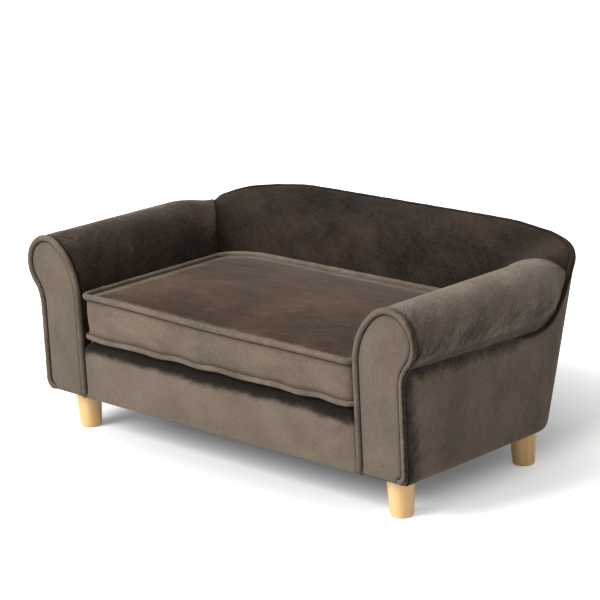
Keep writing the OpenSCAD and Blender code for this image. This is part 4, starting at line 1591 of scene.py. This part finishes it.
@dataclass
class Back:
    """The padded inside of the back, the outer cover and the piping between them."""

    gap: float = 0.0050
    pad_t: float = 0.010
    puff: float = 0.003
    foot_x: float = 0.253
    foot_y: float = 0.0689
    foot_z: float = 0.138
    rim_x: float = 0.3227
    rim_y: float = 0.1274
    rim_z: float = 0.2469
    curl_in: float = 0.005
    curl_h: float = 0.009
    cover_gap: float = 0.0042
    cover_t: float = 0.002
    cover_rows: int = 44
    cover_drop: float = 0.0020
    tuck_h: float = 0.005
    crease_z: float = 0.19
    blend: float = 0.06
    piping_lead: float = 0.075
    piping_in: float = 0.0045
    settle: float = 0.007
    settle_x: float = 0.258

    def settled(self, at: Vector) -> Vector:
        """Give a point where the cloth has settled beside the back's corners.

        Args:
            at: The point.

        Returns:
            The point, lower where it is near a corner.
        """
        side = abs(at.x) - self.settle_x
        near = fade(side, 0.038 if side > 0 else 0.045)
        return at - Vector((0, 0, self.settle * near * ramp(at.z, 0.19, 0.265)))

    def inside(self, rim: KDTree) -> None:
        """Build the padded inside, held along the piping, the arms and its foot.

        Args:
            rim: The line of the rim piping.
        """
        ends = [(-self.foot_x, self.foot_y, self.foot_z),
                (self.foot_x, self.foot_y, self.foot_z),
                (self.rim_x, self.rim_y, self.rim_z),
                (-self.rim_x, self.rim_y, self.rim_z)]
        sheet = Sheet.of_node("inside_back_cover", "back_foam", ends, self.gap)
        sheet = sheet.swelled(self.puff).refined()
        sheet.moved(self.settled)
        sheet.dip(Edge.HIGH, depth=0.002, width=0.008)
        sheet.draw(Edge.HIGH, lambda at: at.lerp(rim.find(at)[0], 0.6), width=0.007)
        sheet.pucker(Edge.HIGH, height=0.0005, reach=0.020, wave=0.030, slant=0.6, seed=2)
        for edge in (Edge.FIRST, Edge.LAST):
            sheet.draw(edge, lambda at: at + Vector((math.copysign(0.0015, at.x), 0, 0)),
                       width=0.004)
            sheet.pucker(edge, height=0.0007, reach=0.025, wave=0.028, slant=0.4, seed=6)
        pad = sheet.piece("padded_back")
        seams = tree_of([*sheet.grid[0], *sheet.grid[-1], *sheet.grid[:, -1]])
        # painted shade in the creases beside the seams and the rim piping
        mark(pad, "crease", lambda at: max(
            0.85 * fade(seams.find(at)[2], 0.0025),
            0.95 * fade(max(rim.find(at)[2] - PATTERN.piping_r, 0), 0.0022)))
        finish_with(pad, "SOLIDIFY", thickness=self.pad_t, offset=-1.0)
        dress(pad, SHADED_INSIDE, Body.SOFA, ["inside_back_cover", "back_foam"])

    def column(self, place: float) -> list[Vector]:
        """Give the outer cover's points from its foot to its top.

        Args:
            place: The place round the cover, as Pattern.plan takes it.

        Returns:
            The column's points.
        """
        low, past = PATTERN.leg_h, place - PATTERN.rise_place()
        edge = PATTERN.edge_z(PATTERN.plan(place, 0, self.crease_z).y)
        if abs(past) < self.blend:
            share = clip((past + self.blend) / (2 * self.blend))
            top = mix(edge + self.tuck_h, edge - self.cover_drop, share)
        else:
            top = (edge + self.tuck_h if past < 0
                   else PATTERN.rim(place).z - self.cover_drop)
        curl = [math.pi / 12 * t for t in range(6)]
        return [*(PATTERN.plan(place, self.curl_in * (1 - math.sin(t)),
                               low + self.curl_h * (1 - math.cos(t))) for t in curl),
                *(PATTERN.plan(place, 0, mix(low + self.curl_h, top, t / self.cover_rows))
                  for t in range(self.cover_rows + 1))]

    def outside(self, rim: KDTree) -> None:
        """Build the outer cover, drawn tight over the sides and the back.

        Args:
            rim: The line of the rim piping.
        """
        places = np.linspace(0, 3, 601)
        steps = steps_of(PATTERN.plan(place, 0, 0.12) for place in places)[1]
        run = np.concatenate([[0.0], np.cumsum(steps)])
        even = np.linspace(0, run[-1], round(run[-1] / self.cover_gap) + 1)
        half = [[tuple(p) for p in self.column(place)]
                for place in np.interp(even, run, places)]
        rest = [[(-x, y, z) for x, y, z in column] for column in reversed(half[:-1])]
        sheet = Sheet(np.array(half + rest)).facing((0, 1, 0))
        sheet.moved(self.settled)
        sheet.draw(Edge.HIGH, lambda at: at.lerp(rim.find(at)[0], 0.7)
                   if rim.find(at)[2] < 0.008 else at, width=0.004)
        sheet.pucker(Edge.HIGH, height=0.0006, reach=0.030, wave=0.040, slant=0.4, seed=4)
        for edge, slant, seed in ((Edge.FIRST, -0.6, 7), (Edge.LAST, 0.6, 9)):
            sheet.pucker(edge, height=0.0007, reach=0.022, wave=0.030, slant=slant,
                         seed=seed)
        cover = sheet.piece("outer_body")
        rise = PATTERN.rise_y
        roll = tree_of((p.x * side.value, p.y, p.z) for p in PATTERN.seam_path()
                       if p.y < rise + 0.01 for side in Side)
        ends = tree_of((PATTERN.side_x * side.value, PATTERN.cover_front, z / 1000)
                       for z in range(54, 200) for side in Side)
        # painted shade in the crease under the roll and beside the front piping
        mark(cover, "crease", lambda at: max(0.9 * fade(roll.find(at)[2], 0.005),
                                             0.8 * fade(ends.find(at)[2], 0.004)))
        mark(cover, "against", lambda at: max(
            0.8 * ramp(roll.find(at)[2], 0.026, 0) * ramp(at.y, rise, rise - 0.03),
            0.85 * ramp(ends.find(at)[2], 0.032, 0)))
        finish_with(cover, "SOLIDIFY", thickness=self.cover_t, offset=-1.0)
        dress(cover, OUTER, Body.SOFA, ["outer_cover"])

    def rim_line(self) -> list[Point]:
        """Follow the back's edge from under one roll round to under the other.

        Returns:
            The line's points.
        """
        half = []
        for p in PATTERN.seam_path():
            lead = PATTERN.rise_y - p.y
            if lead > 0 and p.z < PATTERN.neck_z + 0.03:
                if lead > self.piping_lead:
                    continue
                p = p - Vector((self.piping_in * ramp(lead, 0, self.piping_lead), 0, 0))
            half.append(tuple(self.settled(p)))
        return half + [(-x, y, z) for x, y, z in reversed(half[:-1])]

    def build(self) -> None:
        """Build and dress the back."""
        line = self.rim_line()
        rim = tree_of(line)
        self.inside(rim)
        self.outside(rim)
        sewn_cord("rim_piping", line, PATTERN.piping_r, SHADED_RIM_PIPING, Body.SOFA,
                  ["back_piping"], taper=0.05)


@dataclass
class FrontRail:
    """The padded rail under the cushion."""

    voxel: float = 0.003
    puff: float = 0.0022
    hold: float = 0.006
    lap: float = 0.003
    lap_x: float = 0.2518

    def lapped(self, at: Vector, low: Vector, high: Vector, deck_z: float) -> Vector:
        """Give a point where the cloth laps over the seat board's front edge.

        Args:
            at: The point.
            low: The low corner of the cover's box.
            high: The high corner of the cover's box.
            deck_z: Height of the deck cloth.

        Returns:
            The point, moved if it is at the upper rear edge.
        """
        at = Vector((min(max(at.x, low[0]), high[0]), min(at.y, high[1] - 0.0002), at.z))
        if at.z <= high[2] - 0.004:
            return at
        rear = ramp(at.y, high[1] - 0.005, high[1] - 0.001)
        out = math.copysign(self.lap * rear * ramp(abs(at.x), 0.24, 0.249), at.x)
        at += Vector((out, self.lap * rear, (deck_z - at.z) * rear))
        at.x = min(max(at.x, -self.lap_x), self.lap_x)
        return at

    def nap(self, at: Vector) -> float:
        """Say how far painted shade, the cushion's shadow on the nap, darkens the upper
        edge.
        """
        start = 0.111 + 0.003 * wander(at.x * 22.0, 3)
        return ramp(at.z, start, start + 0.018)

    def build(self) -> None:
        """Build and dress the rail."""
        pad = merged_copy("front_rail_cover", "padded_rail")
        edit(pad)
        bpy.ops.mesh.convex_hull()
        bpy.ops.object.mode_set(mode="OBJECT")
        finish_with(pad, "REMESH", mode="VOXEL", voxel_size=self.voxel)
        finish_with(pad, "SMOOTH", factor=0.5, iterations=5)
        low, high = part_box("front_rail_cover")
        swell(pad, lambda at, gap: 1.0 if at.y > high[1] - self.hold
              or at.z < low[2] + self.hold or abs(at.x) > high[0] - self.hold else 0.0,
              self.puff, pressure=3.0)
        deck_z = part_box("deck_cloth")[1][2] + 0.0004
        for v in pad.data.vertices:
            v.co = self.lapped(v.co, low, high, deck_z)
        # painted shadow under the cushion: the rail darkens towards its top
        mark(pad, "against", self.nap)
        mark(pad, "crease", lambda at: 0.9 * ramp(at.z, 0.118, 0.130))
        dress(pad, RAIL, Body.SOFA, ["front_rail_cover", "front_rail_foam"])


@dataclass
class Cushion:
    """The loose seat cushion: one padded form, its pipings, its seams and its zip."""

    voxel: float = 0.005
    cap: float = 0.008
    held_h: float = 0.0045
    held_w: float = 0.011
    seam_in: float = 0.0026
    draw_w: float = 0.0115
    draw_in: float = 0.0060
    floor_z: float = 0.138

    def held(self, at: Vector) -> float:
        """Say how firmly the seams hold a point of the pad.

        Args:
            at: The point.

        Returns:
            1 beside the seams and 0 elsewhere.
        """
        edge = min(abs(at.z - PATTERN.cushion_low), abs(at.z - PATTERN.cushion_high))
        rim = (abs(at.x) > PATTERN.cushion_x - self.held_w
               or at.y < PATTERN.cushion_front + self.held_w
               or at.y > PATTERN.cushion_rear - self.held_w
               or abs(at.x) + at.y > 0.29)
        return 1.0 if edge < self.held_h and rim else 0.0

    def sag(self, at: Vector) -> Vector:
        """Give how far the sewn cloth sags and waves at a point.

        Args:
            at: The point.

        Returns:
            The move: the front's upper edge falls to the right, and its lower edge
            waves up and down and to and fro.
        """
        near = clip((-0.02 - at.y) / 0.16) if at.y < 0 else 0.0
        top, turn = ramp(at.z, 0.150, 0.195), 2 * math.pi
        low, along = 1.0 - top, at.x + 0.25
        fall = (-0.0008 - 0.0042 * ease(along / 0.50)
                + 0.0009 * math.sin(along * turn / 0.36 + 0.5))
        wave = 0.0008 + 0.0009 * math.sin(at.x * turn / 0.085)
        out = 0.0009 * math.sin(at.x * turn / 0.062 + 1.0)
        return Vector((0.0, near * low * out, near * (top * fall + low * wave)))

    def pad(self) -> None:
        """Swell the pad between its seams and lay it flat on the platform."""
        pad = merged_copy("cushion_foam", "cushion_pad")
        finish_with(pad, "REMESH", mode="VOXEL", voxel_size=self.voxel)
        finish_with(pad, "SMOOTH", factor=0.5, iterations=3)
        swell(pad, lambda at, gap: self.held(at), self.cap)
        finish_with(pad, "SUBSURF", levels=1, render_levels=1)
        for v in pad.data.vertices:
            v.co.z = max(v.co.z, PATTERN.cushion_low - 0.0038)
        plan = PATTERN.cushion_line(PATTERN.piping_r, 0.002)
        top = tree_of((x, y, 0.0) for x, y in plan)
        seams = tree_of((x, y, z) for x, y in plan
                        for z in (PATTERN.cushion_low, PATTERN.cushion_high))
        # painted shade: the cushion's top away from its edges and its bottom turn darker,
        # and crease darkens the cloth beside the seams
        mark(pad, "against", lambda at: ramp(at.z, 0.1965, 0.2005)
             * ramp(top.find((at.x, at.y, 0))[2], 0.002, 0.018)
             + ramp(at.z, 0.140, 0.138))
        mark(pad, "crease",
             lambda at: 0.5 * fade(max(seams.find(at)[2] - 0.008, 0), 0.0018))
        for v in pad.data.vertices:
            near, _, gap = seams.find(v.co)
            v.co = v.co.lerp(near, ramp(gap, self.draw_w, self.draw_in))
            v.co += self.sag(v.co)
            v.co.z = max(v.co.z, self.floor_z)
        dress(pad, CUSHION, Body.CUSHION, ["cushion_foam", "cushion_top_panel",
                                           "cushion_band", "cushion_bottom_panel"])

    def build(self) -> None:
        """Build and dress the cushion."""
        self.pad()
        r = PATTERN.piping_r
        for z, word, way in ((PATTERN.cushion_high, "top", -1),
                             (PATTERN.cushion_low, "bottom", 1)):
            line = [(x, y, z) for x, y in PATTERN.cushion_line(r)]
            sewn_cord(f"cushion_{word}_edge", line, r, PIPING, Body.CUSHION,
                      [f"cushion_{word}_piping"], closed=True, uneven=0.06,
                      shift=self.sag)
            # dark seam cords: the stitching, and painted shadow in the crease beside the
            # piping
            seam = [(x, y, z + way * (r + 0.0003))
                    for x, y in PATTERN.cushion_line(self.seam_in)]
            sewn_cord(f"cushion_{word}_seam", seam, 0.0005, SEAM_SHADOW, Body.CUSHION,
                      closed=True, uneven=0.0, shift=self.sag,
                      stitched=word == "bottom")
        repaint(ZIP_TAPE, "zip_chain")
        repaint(ZIP_METAL, "zip_slider", "zip_pull")


@dataclass
class Studio:
    """The camera, the lamps, the floor and the background."""

    eye: Point = (2.12613, -2.12770, 1.02510)
    aim: Point = (0.20778, -0.19085, 0.26867)
    roll: float = -2.74
    lens: float = 141.41
    shift: tuple[float, float] = (-0.0383, -0.0022)
    glow_at: Point = (0.0, 0.037, 0.0)

    def camera(self) -> None:
        """Put the camera at the photograph's place."""
        data = bpy.data.cameras.new("camera")
        data.lens, data.sensor_width = self.lens, 36.0
        data.shift_x, data.shift_y = self.shift
        data.clip_start, data.clip_end = 0.05, 60.0
        eye = placed("camera", data)
        eye.matrix_world = (self.looking(self.eye, self.aim)
                            @ Matrix.Rotation(math.radians(self.roll), 4, "Z"))
        bpy.context.scene.camera = eye

    def looking(self, place: Point, aim: Point) -> Matrix:
        """Give the transform of a camera or a lamp that faces a point."""
        turn = (Vector(aim) - Vector(place)).to_track_quat("-Z", "Y")
        return Matrix.Translation(place) @ turn.to_matrix().to_4x4()

    def lamp(self, name: str, place: Point, aim: Point, size: float, power: float
             ) -> None:
        """Add one soft square lamp.

        Args:
            name: The lamp's name.
            place: Where it stands.
            aim: The point that it faces.
            size: Its width in metres.
            power: Its power in watts.
        """
        data = bpy.data.lights.new(name, "AREA")
        data.size, data.energy = size, power
        placed(name, data).matrix_world = self.looking(place, aim)

    def seen(self, g: Graph) -> Value:
        """Give 1 for rays that show the background itself, and 0 for light.

        Args:
            g: A helper for the nodes.

        Returns:
            The value.
        """
        path = g.add("LightPath", {}).outputs
        rays = g.maths("MAXIMUM", path["Is Camera Ray"], path["Is Glossy Ray"])
        return g.maths("MAXIMUM", rays, path["Is Transmission Ray"])

    def floor(self) -> None:
        """Lay the white floor, with painted light: a glow, seen directly and in
        reflections, that grows away from the sofa and to its right and lifts the sofa's
        shadow there.
        """
        select_none()
        bpy.ops.mesh.primitive_plane_add(size=30.0, location=(0, 0, 0))
        floor = bpy.context.object
        floor.name = "floor"
        made = bpy.data.materials.new("floor white")
        g = Graph.emptied(made)
        place = g.place()
        moved = g.vector("MULTIPLY", g.vector("SUBTRACT", place, self.glow_at),
                         (0.81, 1.0, 1.0))
        away = g.value("VectorMath", {0: moved}, "Value", operation="LENGTH")
        right = g.value("SeparateXYZ", {0: place})
        # painted light: far brightens the floor away from the sofa and on its right side,
        # lifting the shadow there
        far = (away.stretched(0.17, 0.68, 0.105, 1.0)
               + right.stretched(0.24, 0.34, 0.0, 0.30))
        shade = g.add("BsdfDiffuse", {"Color": (0.74, 0.74, 0.74, 1.0)})
        glow = g.add("Emission", {"Strength": self.seen(g) * far})
        both = g.add("AddShader", {0: shade.outputs[0], 1: glow.outputs[0]})
        g.add("OutputMaterial", {0: both.outputs[0]})
        floor.data.materials.append(made)

    def world(self) -> None:
        """Make the pale room around the sofa."""
        world = bpy.data.worlds.new("room")
        bpy.context.scene.world = world
        g = Graph.emptied(world)
        strength = self.seen(g).stretched(0.0, 1.0, 0.32, 1.0)
        glow = g.add("Background", {"Color": (1.0, 1.0, 1.0, 1.0),
                                    "Strength": strength})
        g.add("OutputWorld", {0: glow.outputs[0]})

    def build(self) -> None:
        """Set up the whole studio."""
        self.camera()
        self.world()
        self.floor()
        self.lamp("key", (-1.9, -4.8, 4.1), (0, 0, 0.15), size=3.2, power=590.0)
        self.lamp("fill", (2.6, -1.2, 1.4), (0, 0, 0.15), size=1.8, power=10.0)
        self.lamp("top", (-0.6, 0.2, 2.8), (0, 0, 0.1), size=1.6, power=20.0)
        bpy.context.scene.view_settings.view_transform = "Standard"


def main() -> None:
    """Build the sofa bed and its studio."""
    logging.basicConfig(level=logging.INFO, format="%(name)s %(message)s")
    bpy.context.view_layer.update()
    Studio().build()
    Legs().build()
    InnerFrame().build()
    for side in Side:
        ScrollArm(side).build()
    Back().build()
    FrontRail().build()
    Cushion().build()
    select_none()


if __name__ == "__main__":
    main()
